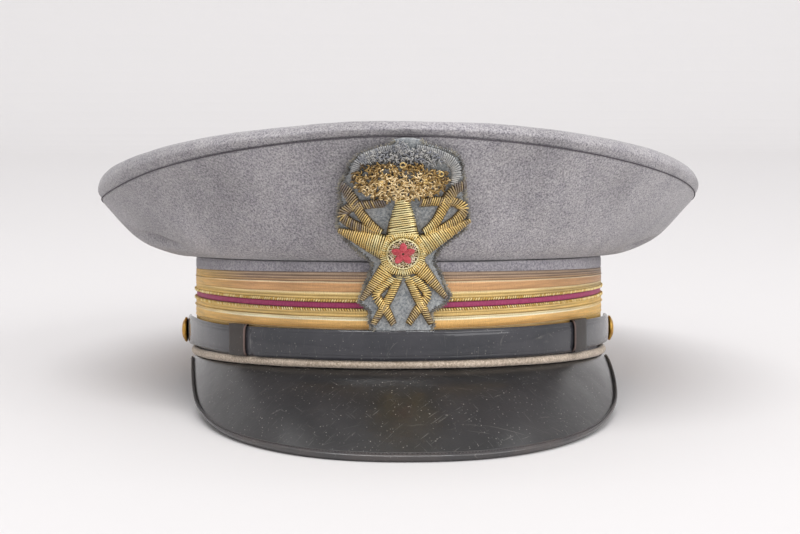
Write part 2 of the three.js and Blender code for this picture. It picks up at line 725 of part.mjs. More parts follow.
function makeSlider({ from, to, strap }) {
  const room = bandBlock(strap, from - SLIDER_CUT_ANGLE, to + SLIDER_CUT_ANGLE, GAP);
  return bandBlock(strap, from, to, GAP + SLIDER_WALL).subtract(room);
}

// A domed button that stands on the strap, facing out sideways.
function makeButton(side, strap) {
  const curve = anglesBetween(0, 90, BUTTON.steps).map((angle) => {
    const turn = THREE.MathUtils.degToRad(angle);
    const height = BUTTON.rim + (BUTTON.dome - BUTTON.rim) * Math.sin(turn);
    return new THREE.Vector2(BUTTON.radius * Math.cos(turn), height);
  });
  const profile = [new THREE.Vector2(0, 0), new THREE.Vector2(BUTTON.radius, 0), ...curve];
  const dome = new THREE.LatheGeometry(profile, BUTTON.sides);
  dome.rotateZ((-side * Math.PI) / 2);
  const out = through(strap, "angle", "out", side * BUTTON_ANGLE) + STRAP_THICK + GAP;
  const place = onRing(widen(LACE, out), side * BUTTON_ANGLE, BUTTON_HEIGHT);
  dome.translate(place.x, place.y, place.z);
  return solidOfGeometry(dome);
}

// The badge's surface: a place seen from the front, and a height above the back of the patch. Heights
// are measured square to the patch but laid off level, so that a raised piece stays at its place.
function patchBack(x, z) {
  const out = through(PATCH_BACK, "z", "out", z) + PATCH_CURL * x * x;
  const ring = { a: LACE.a + out * PATCH_SIDE_GROWTH, b: LACE.b + out };
  return onRing(ring, THREE.MathUtils.radToDeg(Math.asin(x / ring.a)), z);
}

function onBadge(x, z, rise) {
  const level = normalAt(patchBack, x, z, PATCH_STEP, PATCH_STEP).setZ(0);
  return patchBack(x, z).addScaledVector(level, rise / level.lengthSq());
}

function makePatch() {
  const sections = PATCH_OUTLINE.map(({ z, left, right }) => {
    const columns = anglesBetween(left, right, PATCH_COLUMNS);
    const back = columns.map((x) => onBadge(x, z, 0));
    const front = columns.map((x) => onBadge(x, z, PATCH_THICK));
    return [...back, ...front.toReversed()];
  });
  return loft(sections);
}

// A padded bar along a table of points: flat under, round above, and widened all round by "grow".
function makeStrand(rows, grow = 0) {
  const path = new THREE.CatmullRomCurve3(rows.map(({ x, z, half }) => new THREE.Vector3(x, z, half)));
  const steps = rows.length + 2;
  const base = PATCH_THICK + GAP - grow;
  const sections = anglesBetween(0, 1, steps).map((share) => {
    const place = path.getPoint(share);
    const ahead = path.getTangent(share);
    const sideways = new THREE.Vector2(-ahead.y, ahead.x).normalize();
    const half = place.z + grow;
    const rise = Math.min(place.z * STRAND_RISE, STRAND_HIGHEST) + 2 * grow;
    return STRAND_SECTION.map(([side, up]) => {
      const x = place.x + sideways.x * side * half;
      const z = place.y + sideways.y * side * half;
      return onBadge(x, z, base + up * rise);
    });
  });
  return loft(sections);
}

// A low round cushion on the badge: rings of a flat base, a wall and a domed top.
function makeCushion({ x, z, across, up, base, rise, dome, sides, reach = () => 1 }) {
  const rings = [
    { share: 0, height: base },
    { share: 1, height: base },
    { share: 1, height: base + rise - dome },
    { share: CUSHION_SLOPE.share, height: base + rise - dome * CUSHION_SLOPE.fall },
    { share: 0, height: base + rise },
  ];
  const sections = anglesBetween(0, 2 * Math.PI, sides)
    .slice(0, sides)
    .map((turn) =>
      rings.map(({ share, height }) => {
        const out = share * reach(turn);
        return onBadge(x + across * out * Math.sin(turn), z + up * out * Math.cos(turn), height);
      }),
    );
  return loft(sections, true);
}

function makeStar(grow = 0) {
  const hub = makeCushion({
    ...HUB,
    across: HUB.radius + grow,
    up: HUB.radius + grow,
    base: PATCH_THICK + GAP - grow,
    rise: HUB.rise + 2 * grow,
    dome: 0,
  });
  return STAR_ARMS.reduce((star, arm) => star.add(makeStrand(arm, grow)), hub);
}

function makeDisc() {
  const size = { across: DISC.radius, up: DISC.radius, base: DISC_BASE };
  return makeCushion({ ...HUB, ...DISC, ...size });
}

function makeRosette() {
  const base = DISC_BASE + DISC.rise + GAP;
  const reach = (turn) => {
    const petal = Math.abs(Math.cos((turn * ROSETTE.petals) / 2));
    return THREE.MathUtils.lerp(ROSETTE.waist, ROSETTE.reach, petal) / ROSETTE.reach;
  };
  const size = { across: ROSETTE.reach, up: ROSETTE.reach };
  return makeCushion({ ...HUB, ...ROSETTE, ...size, base, reach });
}

function makeCoronet(grow = 0) {
  const base = PATCH_THICK + GAP - grow;
  const oval = makeCushion({
    ...CORONET,
    across: CORONET.across + grow,
    up: CORONET.up + grow,
    base,
    rise: CORONET.rise + 2 * grow,
  });
  const arches = ARCH_FEET.map((x) => {
    const crestX = (x * 2 + ARCH.meetX) / 3;
    return makeStrand([
      { x, z: ARCH.footZ, half: ARCH.half },
      { x: crestX, z: ARCH.crestZ, half: ARCH.half },
      { x: ARCH.meetX, z: ARCH.meetZ, half: ARCH.half },
    ], grow);
  });
  const size = { across: ORB.radius + grow, up: ORB.radius + grow };
  const orb = makeCushion({ ...ORB, ...size, base, rise: 2 * ORB.radius, dome: ORB.radius });
  return [...arches, orb].reduce((whole, piece) => whole.add(piece), oval);
}

// The strands of one ornament, joined, and cut clear of the pieces that they meet.
function makeOrnament(strands, ...neighbours) {
  const joined = strands.map((rows) => makeStrand(rows)).reduce((p, q) => p.add(q));
  return largestBody(neighbours.reduce((rest, piece) => rest.subtract(piece), joined));
}

// The finished cap: every piece as a named mesh in one group that leans on the table.
function addPiece(group, name, solid, finish) {
  const mesh = new THREE.Mesh(geometryOf(solid), new THREE.MeshStandardMaterial(finish));
  mesh.name = name;
  group.add(mesh);
}

const cap = new THREE.Group();
addPiece(cap, "crown_top", makeCrownTop(), FELT);
addPiece(cap, "crown_side", makeCrownSide(), FELT);
addPiece(cap, "band", makeBand(), BAND_CLOTH);
addPiece(cap, "lace_upper", makeLaceUpper(), GOLD_LACE);
addPiece(cap, "stripe", makeStripe(), MAROON);
addPiece(cap, "lace_lower", makeLaceLower(), GOLD_LACE);
addPiece(cap, "piping", makePiping(), BEIGE);
addPiece(cap, "peak", makePeak(), BLACK_LEATHER);
addPiece(cap, "peak_binding", makePeakBinding(), BLACK_LEATHER);
addPiece(cap, "strap_inner", makeStrap(STRAP_INNER, STRAP_INNER[0].angle), BLACK_LEATHER);
addPiece(cap, "strap_outer", makeStrap(STRAP_OUTER, STRAP_OUTER.at(-1).angle), BLACK_LEATHER);
Object.entries(SLIDERS).forEach(([name, slider]) =>
  addPiece(cap, name, makeSlider(slider), BROWN_LEATHER),
);
addPiece(cap, "button_left", makeButton(-1, STRAP_INNER), GILT);
addPiece(cap, "button_right", makeButton(1, STRAP_OUTER), GILT);
addPiece(cap, "badge_patch", makePatch(), BAND_CLOTH);
addPiece(cap, "badge_star", makeStar(), BULLION);
addPiece(cap, "badge_disc", makeDisc(), PALE_BULLION);
addPiece(cap, "badge_rosette", makeRosette(), RED_SILK);
addPiece(cap, "badge_coronet", largestBody(makeCoronet().subtract(makeStar(GAP))), TARNISHED);
Object.entries(SERPENTS).forEach(([name, strands]) =>
  addPiece(cap, name, makeOrnament(strands, makeStar(GAP), makeCoronet(GAP)), BULLION),
);
Object.entries(TAILS).forEach(([name, strands]) =>
  addPiece(cap, name, makeOrnament(strands, makeStar(GAP)), BULLION),
);
cap.rotation.x = -LEAN;

// The part's origin is the bottom centre of its box.
const group = new THREE.Group();
group.add(cap);
cap.position.set(0, 0, STAND_HEIGHT);
group.updateMatrixWorld(true);
const box = new THREE.Box3().setFromObject(group, true);
cap.position.x -= (box.min.x + box.max.x) / 2;
cap.position.y -= (box.min.y + box.max.y) / 2;
cap.position.z -= box.min.z;

export default group;
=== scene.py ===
# %% [markdown]
# # An officer's peaked cap in grey felt
# The cap is made of felt, woven gold lace, black leather and an embroidered badge. The solids of the cap
# are already made, at their real size, and this script gives each of them its looks. Most real pieces start
# flat: a strip of lace, a piece of felt, a sheet of leather. So most pieces here start as a flat grid,
# which is then bent to where it lies on the cap. A grid's flat measures become its UV map, in millimetres
# where a weave needs them, so that the weave keeps its real scale.

# %% Load the solids
import math
import random

import bmesh
import bpy
from mathutils import Matrix, Vector, noise


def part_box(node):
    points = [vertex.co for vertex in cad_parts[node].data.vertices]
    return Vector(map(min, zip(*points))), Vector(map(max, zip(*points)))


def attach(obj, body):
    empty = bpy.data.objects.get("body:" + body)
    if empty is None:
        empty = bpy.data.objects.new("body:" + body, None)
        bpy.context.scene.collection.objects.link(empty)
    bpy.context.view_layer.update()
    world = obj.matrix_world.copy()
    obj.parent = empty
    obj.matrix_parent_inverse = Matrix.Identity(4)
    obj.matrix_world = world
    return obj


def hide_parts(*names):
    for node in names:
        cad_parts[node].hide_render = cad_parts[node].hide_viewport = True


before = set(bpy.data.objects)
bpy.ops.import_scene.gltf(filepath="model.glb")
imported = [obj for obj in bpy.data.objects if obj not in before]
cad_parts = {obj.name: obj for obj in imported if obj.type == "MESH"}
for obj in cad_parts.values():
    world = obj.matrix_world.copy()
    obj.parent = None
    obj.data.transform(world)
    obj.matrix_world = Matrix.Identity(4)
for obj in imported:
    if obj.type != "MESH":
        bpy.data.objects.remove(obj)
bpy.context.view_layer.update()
scene = bpy.context.scene
chance = random.Random(7)

# %% [markdown]
# ## The cap's own upright frame
# The cap leans back on the table, which would make every formula awkward. So each piece is modelled
# upright, in millimetres, with the centre of the band's lower edge at zero, and one matrix then leans it
# into place. Angles around the cap are in degrees from the front, and they grow towards the right of a
# viewer in front.

# %% From the upright cap to the table
MM = 0.001
LEAN = math.radians(7)
SEAT = Vector((0, 2.51, 12.1))
to_table = Matrix.Scale(MM, 4) @ Matrix.Translation(SEAT) @ Matrix.Rotation(-LEAN, 4, "X")
GAP = 0.3
HEAD = (79.6, 99.6)
BAND = (82.6, 102.6)
LACE = (84.0, 104.0)
BAND_TOP = (38.3, 40.0, 40.0)
lace_low, lace_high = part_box("lace_upper")
print("lace across, from the solid:", round((lace_high.x - lace_low.x) / MM, 1), "mm")

# %% [markdown]
# ## Curves and rings
# A cap is an oval that changes from front to back. Two small functions say nearly all of it: one turns a
# front, a side and a back value into a smooth change all round, and one runs a soft curve through a table.

# %% Shape functions
def around(front, side, back, angle):
    turn = math.radians(angle)
    mean = (front + back) / 2
    twice = (mean - side) / 2
    return side + twice + (front - back) / 2 * math.cos(turn) + twice * math.cos(2 * turn)


def through(rows, column, x):
    """A smooth curve through one column of a table whose first column is x."""
    last = len(rows) - 1
    i = 0
    while i < last - 1 and x > rows[i + 1][0]:
        i += 1

    def slope(j):
        low, high = rows[max(j - 1, 0)], rows[min(j + 1, last)]
        return (high[column] - low[column]) / (high[0] - low[0])

    span = rows[i + 1][0] - rows[i][0]
    t = min(max((x - rows[i][0]) / span, 0), 1)
    start = rows[i][column]
    rise = rows[i + 1][column] - start
    bend = (slope(i) * span - rise) * (1 - t) - (slope(i + 1) * span - rise) * t
    return start + rise * t + t * (1 - t) * bend


def on_ring(ring, angle, z, out=0.0):
    turn = math.radians(angle)
    return Vector(((ring[0] + out) * math.sin(turn), -(ring[1] + out) * math.cos(turn), z))


def heading(turn):
    return Vector((math.sin(turn), math.cos(turn)))


def uneven(point, size, seed=0):
    """A soft random value from -1 to 1 that changes over "size" millimetres."""
    return noise.noise(point / size + Vector((seed, 0, 0)))


print("lace rises at the side by", around(0, 3, 3, 90), "mm")

# %% [markdown]
# ## One way to make most pieces
# bmesh.ops.create_grid makes the flat piece with its UV map. Then every vertex is moved to its place, which
# a function of u and v gives. Merging doubles closes a ring or a pole. The normals are made to point
# outwards before bmesh.ops.solidify gives a sheet its thickness, because on a closed shell that turns the
# inner wall.

# %% Bend a flat grid into place, and finish a piece
WIRE_REACH = 0.0005


def bend_grid(bm, columns, rows, place, flat=(1.0, 1.0)):
    uv = bm.loops.layers.uv.verify()
    made = bmesh.ops.create_grid(bm, x_segments=columns, y_segments=rows, size=0.5, calc_uvs=True)["verts"]
    faces = {face for vert in made for face in vert.link_faces}
    for loop in (loop for face in faces for loop in face.loops):
        loop[uv].uv = (loop[uv].uv.x * flat[0], loop[uv].uv.y * flat[1])
    for vert in made:
        vert.co = place(vert.co.x + 0.5, vert.co.y + 0.5)
    return made


def close_up(bm, reach=0.004):
    bmesh.ops.remove_doubles(bm, verts=bm.verts, dist=reach)
    bmesh.ops.dissolve_degenerate(bm, edges=bm.edges, dist=reach / 4)
    bmesh.ops.recalc_face_normals(bm, faces=bm.faces)


def finish_piece(bm, name, material, nodes=(), rests=False):
    """Leans the upright mesh on to the table, and makes it a piece of the cap."""
    bm.transform(to_table)
    if rests:
        for vert in bm.verts:
            vert.co.z = max(vert.co.z, 0.0)
    mesh = bpy.data.meshes.new(name)
    bm.to_mesh(mesh)
    bm.free()
    mesh.shade_smooth()
    piece = bpy.data.objects.new(name, mesh)
    scene.collection.objects.link(piece)
    piece.data.materials.append(material)
    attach(piece, "root")
    if nodes:
        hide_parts(*nodes)
    print(name, len(mesh.polygons), "faces")


def finish_wires(bm, name, material, nodes=()):
    close_up(bm, WIRE_REACH)
    finish_piece(bm, name, material, nodes)


def grid_piece(name, grid, place, material, nodes=(), thick=0, flat=(1.0, 1.0), rests=False):
    bm = bmesh.new()
    bend_grid(bm, *grid, place, flat)
    close_up(bm)
    if thick:
        bmesh.ops.solidify(bm, geom=bm.faces[:], thickness=thick)
    finish_piece(bm, name, material, nodes, rests)


def angle_at(u):
    return 360 * u - 180


# %% [markdown]
# ## Nodes for the materials
# Colours are written as sRGB hex values, as a paint shop would, and one function turns them to the linear
# values that the renderer needs. One small function adds a node, sets it and links it, and the short ones
# after it say how the kinds that come up again and again are made.

# %% Material helpers
def colour(code, alpha=1.0):
    values = [int(code[i:i + 2], 16) / 255 for i in (1, 3, 5)]
    return tuple(v / 12.92 if v <= 0.04045 else ((v + 0.055) / 1.055) ** 2.4 for v in values) + (alpha,)


def plug(tree, node, inputs):
    """Links an input that is a node, by its first output, or a socket. Any other input is set."""
    for key, value in inputs.items():
        if isinstance(value, bpy.types.Node):
            value = value.outputs[0]
        if isinstance(value, bpy.types.NodeSocket):
            tree.links.new(value, node.inputs[key])
        else:
            node.inputs[key].default_value = value


def add(tree, kind, inputs=None, **settings):
    made = tree.nodes.new("ShaderNode" + kind)
    for name, value in settings.items():
        setattr(made, name, value)
    plug(tree, made, inputs or {})
    return made


def ramp(tree, value, stops):
    made = add(tree, "ValToRGB", {"Fac": value})
    marks = made.color_ramp.elements
    for i, (place, shade) in enumerate(stops):
        mark = marks[i] if i < 2 else marks.new(place)
        mark.position = place
        mark.color = colour(shade)
    return made


def maths(tree, operation, first, second=0.5, third=0.5, clamp=False):
    return add(tree, "Math", {0: first, 1: second, 2: third}, operation=operation, use_clamp=clamp)


def ranged(tree, value, source, target):
    """Carries a value from one range to another."""
    return add(tree, "MapRange", {"Value": value, "From Min": source[0], "From Max": source[1],
                                  "To Min": target[0], "To Max": target[1]})


def blend(tree, share, one, other):
    return add(tree, "Mix", {"Factor": share, 6: one, 7: other}, data_type="RGBA").outputs[2]


def in_space(tree):
    return add(tree, "TexCoord").outputs["Object"]


def scale_of(size_mm):
    """The noise scale, on Object coordinates in metres, whose grains are this many millimetres."""
    return 1 / (size_mm * MM)


def grains(tree, where, size_mm, detail, roughness=0.5):
    return add(tree, "TexNoise", {"Vector": where, "Scale": scale_of(size_mm), "Detail": detail,
                                  "Roughness": roughness})


def relief(tree, shader, height, strength, depth_mm):
    bump = add(tree, "Bump", {"Height": height, "Strength": strength, "Distance": depth_mm * MM})
    plug(tree, shader, {"Normal": bump})


def new_material(name, surface):
    """A material with one surface shader, whose plain values are given by the sockets' names."""
    material = bpy.data.materials.new(name)
    material.use_nodes = True
    tree = material.node_tree
    shader = tree.nodes["Principled BSDF"]
    plug(tree, shader, surface)
    return material, tree, shader


def mottled(name, surface, size_mm, detail, stops):
    """A material whose tint drifts over patches of this many millimetres."""
    material, tree, shader = new_material(name, surface)
    plug(tree, shader, {"Base Color": ramp(tree, grains(tree, in_space(tree), size_mm, detail), stops)})
    return material


print("felt grey in linear light:", [round(v, 3) for v in colour("#8f8d93")[:3]])

# %% [markdown]
# ## Wool felt
# The crown is milled wool, a felted cloth with a short nap. It gives no shine, only a soft light rim where
# the nap is seen edge-on, so the shader is rough with a little sheen. Its colour is a mix of pale and dark
# fibres: fine specks under a millimetre, drawn a little coarse so that they show, soft clouds of a few
# millimetres where the nap lies differently, and slow stains over centimetres.

# %% Material: milled wool felt
def wool(name, dark, light, speck, stain_a, stain_b):
    finish = {"Roughness": 0.95, "Sheen Weight": 0.3, "Sheen Roughness": 0.5, "Specular IOR Level": 0.2}
    material, tree, shader = new_material(name, finish)
    where = in_space(tree)
    specks = grains(tree, where, speck, 3.0, 0.75)
    grain = ramp(tree, specks, [(0.34, dark), (0.66, light)])
    clouds = grains(tree, where, 9, 4.0, 0.6)
    stains = ramp(tree, clouds, [(0.35, stain_a), (0.65, stain_b)])
    mixed = blend(tree, 0.28, grain, stains)
    handled = grains(tree, where, 38, 3.0)
    faded = ranged(tree, handled, (0.32, 0.68), (0.86, 1.18))
    shaded = add(tree, "VectorMath", {0: mixed, "Scale": faded}, operation="SCALE")
    plug(tree, shader, {"Base Color": shaded})
    fibre = grains(tree, where, speck * 0.8, 2.0)
    relief(tree, shader, fibre, 0.6, 0.5)
    return material


wool_felt = wool("milled_wool_felt", "#57545c", "#c9c5c6", 0.68, "#7f7c84", "#a9a5a6")
band_cloth = wool("grey_woollen_cloth", "#5f5c66", "#b4b0b3", 0.8, "#7d7981", "#959195")
patch_felt = wool("badge_backing_felt", "#61676d", "#c0c2c1", 0.9, "#7b858d", "#a3a1a0")
piping_wool = wool("piping_wool", "#84745f", "#e2d3c3", 0.8, "#a5937f", "#c6b5a2")
# The padding's dark brown is partly painted shade for the gaps between the wires.
padding_and_gap_shade = wool("padding_with_gap_shade", "#3a301c", "#84693a", 0.9, "#4d4026", "#6b5630")
print("wool materials:", [m.name for m in (wool_felt, band_cloth, patch_felt, piping_wool, padding_and_gap_shade)])

# %% [markdown]
# ## The crown's side
# On the real cap this is a felt panel that is narrow at the band, flares out, and is sewn to the top at the
# rim. At every angle a curve with four control points leads from the band to the rim. The felt is soft, so
# it also has a few dents and bulges low at the sides, wide sags, and an uneven skin that noise gives. A
# formula, rather than sculpting, keeps it close to the solid that it stands for.

# %% Model the crown's side
WALL = 1.7
CROWN_FOOT = (81.1, 101.1)
RIM = (122.4, 132.6)
RIM_HEIGHT = (80.3, 61.8, 57)
CROWN_FOLDS = [
    # angle, share of the way up, depth in mm, half width in degrees and as a share, slant in degrees
    (-92, 0.40, 3.2, 6, 0.16, -40),
    (91, 0.38, 2.8, 6, 0.15, 40),
    (-112, 0.40, -1.0, 13, 0.25, 0),
    (110, 0.40, -1.0, 13, 0.25, 0),
    (-69, 0.45, 6.5, 3.5, 0.1, -50),
    (75, 0.38, 6.0, 3.5, 0.09, 50),
    (-28, 0.45, 1.4, 9, 0.25, 0),
    (30, 0.40, 1.2, 10, 0.25, 0),
    (160, 0.40, 1.8, 12, 0.22, 15),
]
SEAM_SHIFT = [
    # angle, how far the seam was pulled up there by the sewing
    (-180, 0), (-90, -0.3), (-68, -1.7), (-45, 0.0), (-20, 1.3), (0, 1.9), (20, 1.2), (45, 0.3), (90, 0),
    (180, 0)]


def rim_height(angle):
    return around(*RIM_HEIGHT, angle) + through(SEAM_SHIFT, 1, angle)


def bezier(values, t):
    s = 1 - t
    p, q, r, u = values
    return s * s * s * p + 3 * s * s * t * q + 3 * s * t * t * r + t * t * t * u


def fold_depth(angle, along):
    depth = 0.0
    for at, height, deep, half_angle, half_along, slant in CROWN_FOLDS:
        turn = (angle - at - slant * (along - height) + 540) % 360 - 180
        depth += deep * math.exp(-((turn / half_angle) ** 2) - ((along - height) / half_along) ** 2)
    return depth * math.sin(math.pi * along)


def crown_side(angle, along):
    low_out, high_out = around(0.26, 0.54, 0.4, angle), around(0.6, 0.73, 0.8, angle)
    out = bezier((0, low_out, high_out, 1), along)
    foot = around(*BAND_TOP, angle) + 0.1
    heights = (foot, around(38.4, 38.0, 39.6, angle), around(66, 49.3, 45, angle), rim_height(angle))
    ring = [low + out * (high - low) for low, high in zip(CROWN_FOOT, RIM)]
    return on_ring(ring, angle, max(bezier(heights, along), foot))


def crown_side_felt(u, v):
    angle, along = angle_at(u), v
    point = crown_side(angle, along)
    ahead = crown_side(angle, min(along + 0.02, 1)) - crown_side(angle, max(along - 0.02, 0))
    sideways = crown_side(angle + 1, along) - crown_side(angle - 1, along)
    outward = sideways.cross(ahead).normalized()
    soft = math.sin(math.pi * along)
    depth = fold_depth(angle, along)
    depth += soft * (0.5 * uneven(point, 34) + 0.22 * uneven(point, 13, 5))
    depth += 0.25 * max(along - 0.97, 0) / 0.03
    return point - outward * depth


grid_piece("crown_side_felt", (288, 56), crown_side_felt, wool_felt, ["crown_side"], thick=WALL)

# %% [markdown]
# ## The crown's top
# The top panel is cut a little larger than the rim and rolls over it, so the seam lies just under the edge.
# The panel is a grid again: one side of it runs round the rim, and the other side closes to a point in the
# middle of the top. The shade in the seam's groove shows as one fine dark line, so a thin dark cord is laid
# in it as painted shade.

# %% Model the crown's top
TOP_PROFILE = [
    # place along the panel, half width across the cap, rise above the seam's plane
    (0, 121.9, 0.3),
    (1, 123.7, 2.4),
    (2, 123.2, 4.2),
    (3, 121.4, 5.9),
    (4, 118.0, 6.9),
    (5, 111, 7.2),
    (6, 88, 6.4),
    (7, 56, 5.2),
    (8, 26, 4.6),
    (9, 0, 4.4),
]
SEAM_SHADE_CORD = 0.23


def crown_top_felt(u, v):
    angle = angle_at(u)
    row = 9 * v ** 1.6
    across, rise = through(TOP_PROFILE, 1, row), through(TOP_PROFILE, 2, row)
    share = across / RIM[0]
    front, side, back = RIM_HEIGHT
    twice = ((front + back) / 2 - side) / 2
    turn = math.radians(angle)
    rise += through(SEAM_SHIFT, 1, angle) * max(1 - row / 2, 0)
    tilt = (front - back) / 2 * share * math.cos(turn) + twice * share * share * math.cos(2 * turn)
    scale = 1 + (around(1.2, 1.35, 1.2, angle) - 1) * share * share
    point = on_ring((across, share * RIM[1]), angle, side + twice + tilt + rise * scale)
    point.z += 0.35 * uneven(point, 30) * min(row / 3, 1) + 0.12 * uneven(point, 9, 3) * min(row, 1)
    return point


grid_piece("crown_top_felt", (288, 84), crown_top_felt, wool_felt, ["crown_top"], thick=WALL)


def seam_shade_cord(u, v):
    angle, round_it = angle_at(u), math.tau * v
    height = rim_height(angle) + 0.15 + SEAM_SHADE_CORD * math.sin(round_it)
    return on_ring(RIM, angle, height, SEAM_SHADE_CORD * math.cos(round_it) - 0.1)


# The cord's dark grey is painted shade for the seam's groove.
seam_shade_grey = new_material("seam_shade_thread", {"Roughness": 0.9, "Base Color": colour("#544f55")})[0]
grid_piece("seam_shade_cord", (360, 6), seam_shade_cord, seam_shade_grey)

# %% [markdown]
# ## The band
# The band is a stiff wall covered in blue-grey cloth. Above the lace the cloth shows as a soft strip that
# rolls out a little. One side of the grid runs round the wall's closed section.

# %% Model the band
BAND_SECTION = [
    # share of the way round the section, out from the band's face, height
    (0, -3.0, 0),
    (0.08, 0, 0),
    (0.5, 0, 33.6),
    (0.56, 1.0, 34.2),
    (0.62, 1.35, 35.8),
    (0.7, 1.35, 38.4),
    (0.76, 1.1, 39.7),
    (0.82, -0.4, 40.0),
    (0.86, -2.8, 40.0),
    (0.9, -3.0, 39.4),
    (1, -3.0, 0),
]
ROLL_FOOT = 35.0


def band_wall(u, v):
    angle = angle_at(u)
    place = max(i for i, row in enumerate(BAND_SECTION[:-1]) if row[0] <= v)
    low, high = BAND_SECTION[place], BAND_SECTION[place + 1]
    share = (v - low[0]) / (high[0] - low[0])
    out, height = (low[i] + (high[i] - low[i]) * share for i in (1, 2))
    if height > ROLL_FOOT:
        stretch = (around(*BAND_TOP, angle) - ROLL_FOOT) / (BAND_TOP[2] - ROLL_FOOT)
        height = ROLL_FOOT + (height - ROLL_FOOT) * stretch
    point = on_ring(BAND, angle, height, out)
    return point if height < ROLL_FOOT else point + Vector((0, 0, 0.12 * uneven(point, 12)))


grid_piece("band_cloth", (240, 50), band_wall, band_cloth, ["band"], rests=True)

# %% [markdown]
# ## Gold lace
# The two laces are woven from flat gilt thread on a yellow silk core. Each has a smooth satin stripe, where
# long threads lie side by side and shine, a ribbed ground, where they are bound down every millimetre, and
# a few thick cords that stand up and catch the light. The cords and ribs are real relief in the mesh. The
# thread pattern within them is too fine to model, so the material draws it from the strip's own measures.
# The cords' colour also holds painted highlights: near-white stripes where they catch the light.
# On the left the coppery tarnish has been rubbed off, so there the lace is a cleaner yellow. The lower lace
# is also rubbed on the right.

# %% Material: woven gold lace
LACE_ROUND = 2 * math.pi * 94.5
WORN_AT = 150.0
THREAD = 0.55


def gold_lace(name, width, zones, right_too):
    """Zones are colours up the strip at shares of its width. A lace may be rubbed on the right too."""
    material, tree, shader = new_material(name, {"Metallic": 0.3, "Roughness": 0.42})
    flat = add(tree, "UVMap")
    at = add(tree, "SeparateXYZ", {"Vector": flat})
    share = maths(tree, "DIVIDE", at.outputs["Y"], width)
    zone = ramp(tree, share, zones)
    from_front = maths(tree, "ADD", at.outputs["X"], -LACE_ROUND / 2)
    if right_too:
        mirrored = maths(tree, "ABSOLUTE", from_front)
        from_front = maths(tree, "MULTIPLY", mirrored, -1.0)
    from_worn = maths(tree, "ADD", from_front, WORN_AT)
    apart = maths(tree, "ABSOLUTE", from_worn)
    bare = ranged(tree, apart, (30.0, 78.0), (0.8, 0.0))
    zone = blend(tree, bare, zone, colour("#deb24c"))
    along = maths(tree, "MULTIPLY", at.outputs["X"], math.tau / THREAD)
    jitter = add(tree, "TexNoise", {"Vector": flat, "Scale": 0.9, "Detail": 4.0})
    loose = maths(tree, "MULTIPLY_ADD", jitter, 9.0, along)
    threads = maths(tree, "SINE", loose)
    drawn_out = add(tree, "Mapping", {"Vector": flat, "Scale": (0.05, 0.9, 1)})
    worn = add(tree, "TexNoise", {"Vector": drawn_out, "Scale": 1.0, "Detail": 6.0, "Roughness": 0.7})
    wear = ranged(tree, worn, (0.3, 0.7), (0.73, 1.33))
    shade = ranged(tree, threads, (-1.0, 1.0), (0.8, 1.12))
    value = maths(tree, "MULTIPLY", wear, shade)
    aged = ranged(tree, from_front, (20.0, 110.0), (1.0, 0.72))
    value = maths(tree, "MULTIPLY", value, aged)
    tinted = add(tree, "VectorMath", {0: zone, "Scale": value}, operation="SCALE")
    plug(tree, shader, {"Base Color": tinted})
    relief(tree, shader, threads, 0.35, 0.12)
    return material


STRIPE_FOOT, STRIPE_TOP, LACE_TOP, LACE_FOOT = 21.4, 23.75, 34.8, 10.6
UPPER_WIDTH, LOWER_WIDTH = LACE_TOP - STRIPE_TOP, STRIPE_FOOT - LACE_FOOT
# The near-white stops lie on the raised cords: painted highlights.
upper_gold = gold_lace("gold_lace_upper", UPPER_WIDTH, [
    (0.0, "#94743a"), (0.07, "#e6c884"), (0.11, "#b08f50"), (0.16, "#e6c884"), (0.21, "#b08f50"),
    (0.25, "#dfc07c"), (0.31, "#ffeab4"), (0.35, "#b8895a"), (0.385, "#d0a06e"), (0.61, "#d09e6d"),
    (0.655, "#ffebc4"), (0.69, "#8a6648"), (0.74, "#ceac86"), (0.775, "#7d634e"), (0.83, "#c2a68c"),
    (0.87, "#6c5848"), (0.93, "#b99f86"), (1.0, "#7d6a5a")], False)
# The near-white stops lie on the raised cords as painted highlights, and the dark stop at the foot is
# painted shade.
lower_gold = gold_lace("gold_lace_lower", LOWER_WIDTH, [
    (0.0, "#6e5026"), (0.25, "#b48a4a"), (0.29, "#ffe0a6"), (0.33, "#86602f"), (0.36, "#cd9e5a"),
    (0.58, "#e6b872"), (0.61, "#fff6d4"), (0.69, "#fff0c2"), (0.72, "#927238"), (0.78, "#f0cf88"),
    (0.83, "#b39252"), (0.88, "#f2d28c"), (0.94, "#b08c4c"), (1.0, "#94743a")], True)
print("threads in a centimetre of lace:", round(10 / THREAD))

# %% [markdown]
# The relief of a lace is a short list of raised threads: height up the strip, half width and rise. A soft
# bell for each one is added to the flat strip.

# %% Model the laces
UPPER_THREADS = [(3.6, 0.16, 0.26), (5.45, 1.5, 0.22), (7.4, 0.2, 0.45)]
UPPER_THREADS += [(8.1 + 0.62 * i, 0.2, 0.22) for i in range(5)]
UPPER_THREADS += [(1.3 + 0.5 * i, 0.16, 0.16) for i in range(4)]
LOWER_THREADS = [(3.35, 0.18, 0.35), (5.2, 1.3, 0.25), (7.5, 0.42, 0.65)]
LOWER_THREADS += [(8.6 + 0.62 * i, 0.2, 0.18) for i in range(4)]


def lace_rise(angle):
    return around(0, 3, 3, angle) + 0.55 * math.sin(math.radians(angle))


def lace(name, foot, top, width, threads, material, node):
    def place(u, v):
        angle, height = angle_at(u), width * v
        raised = sum(rise * math.exp(-(((height - at) / half) ** 2)) for at, half, rise in threads)
        low, high = foot(angle), top(angle)
        z = low + (high - low) * v
        wobble = 0.12 * uneven(Vector((u * 590, height * 2, 0)), 14)
        return on_ring(LACE, angle, z + wobble * math.sin(math.pi * v), raised - 0.15)

    grid_piece(name, (300, 76), place, material, [node], thick=0.8, flat=(LACE_ROUND, width))


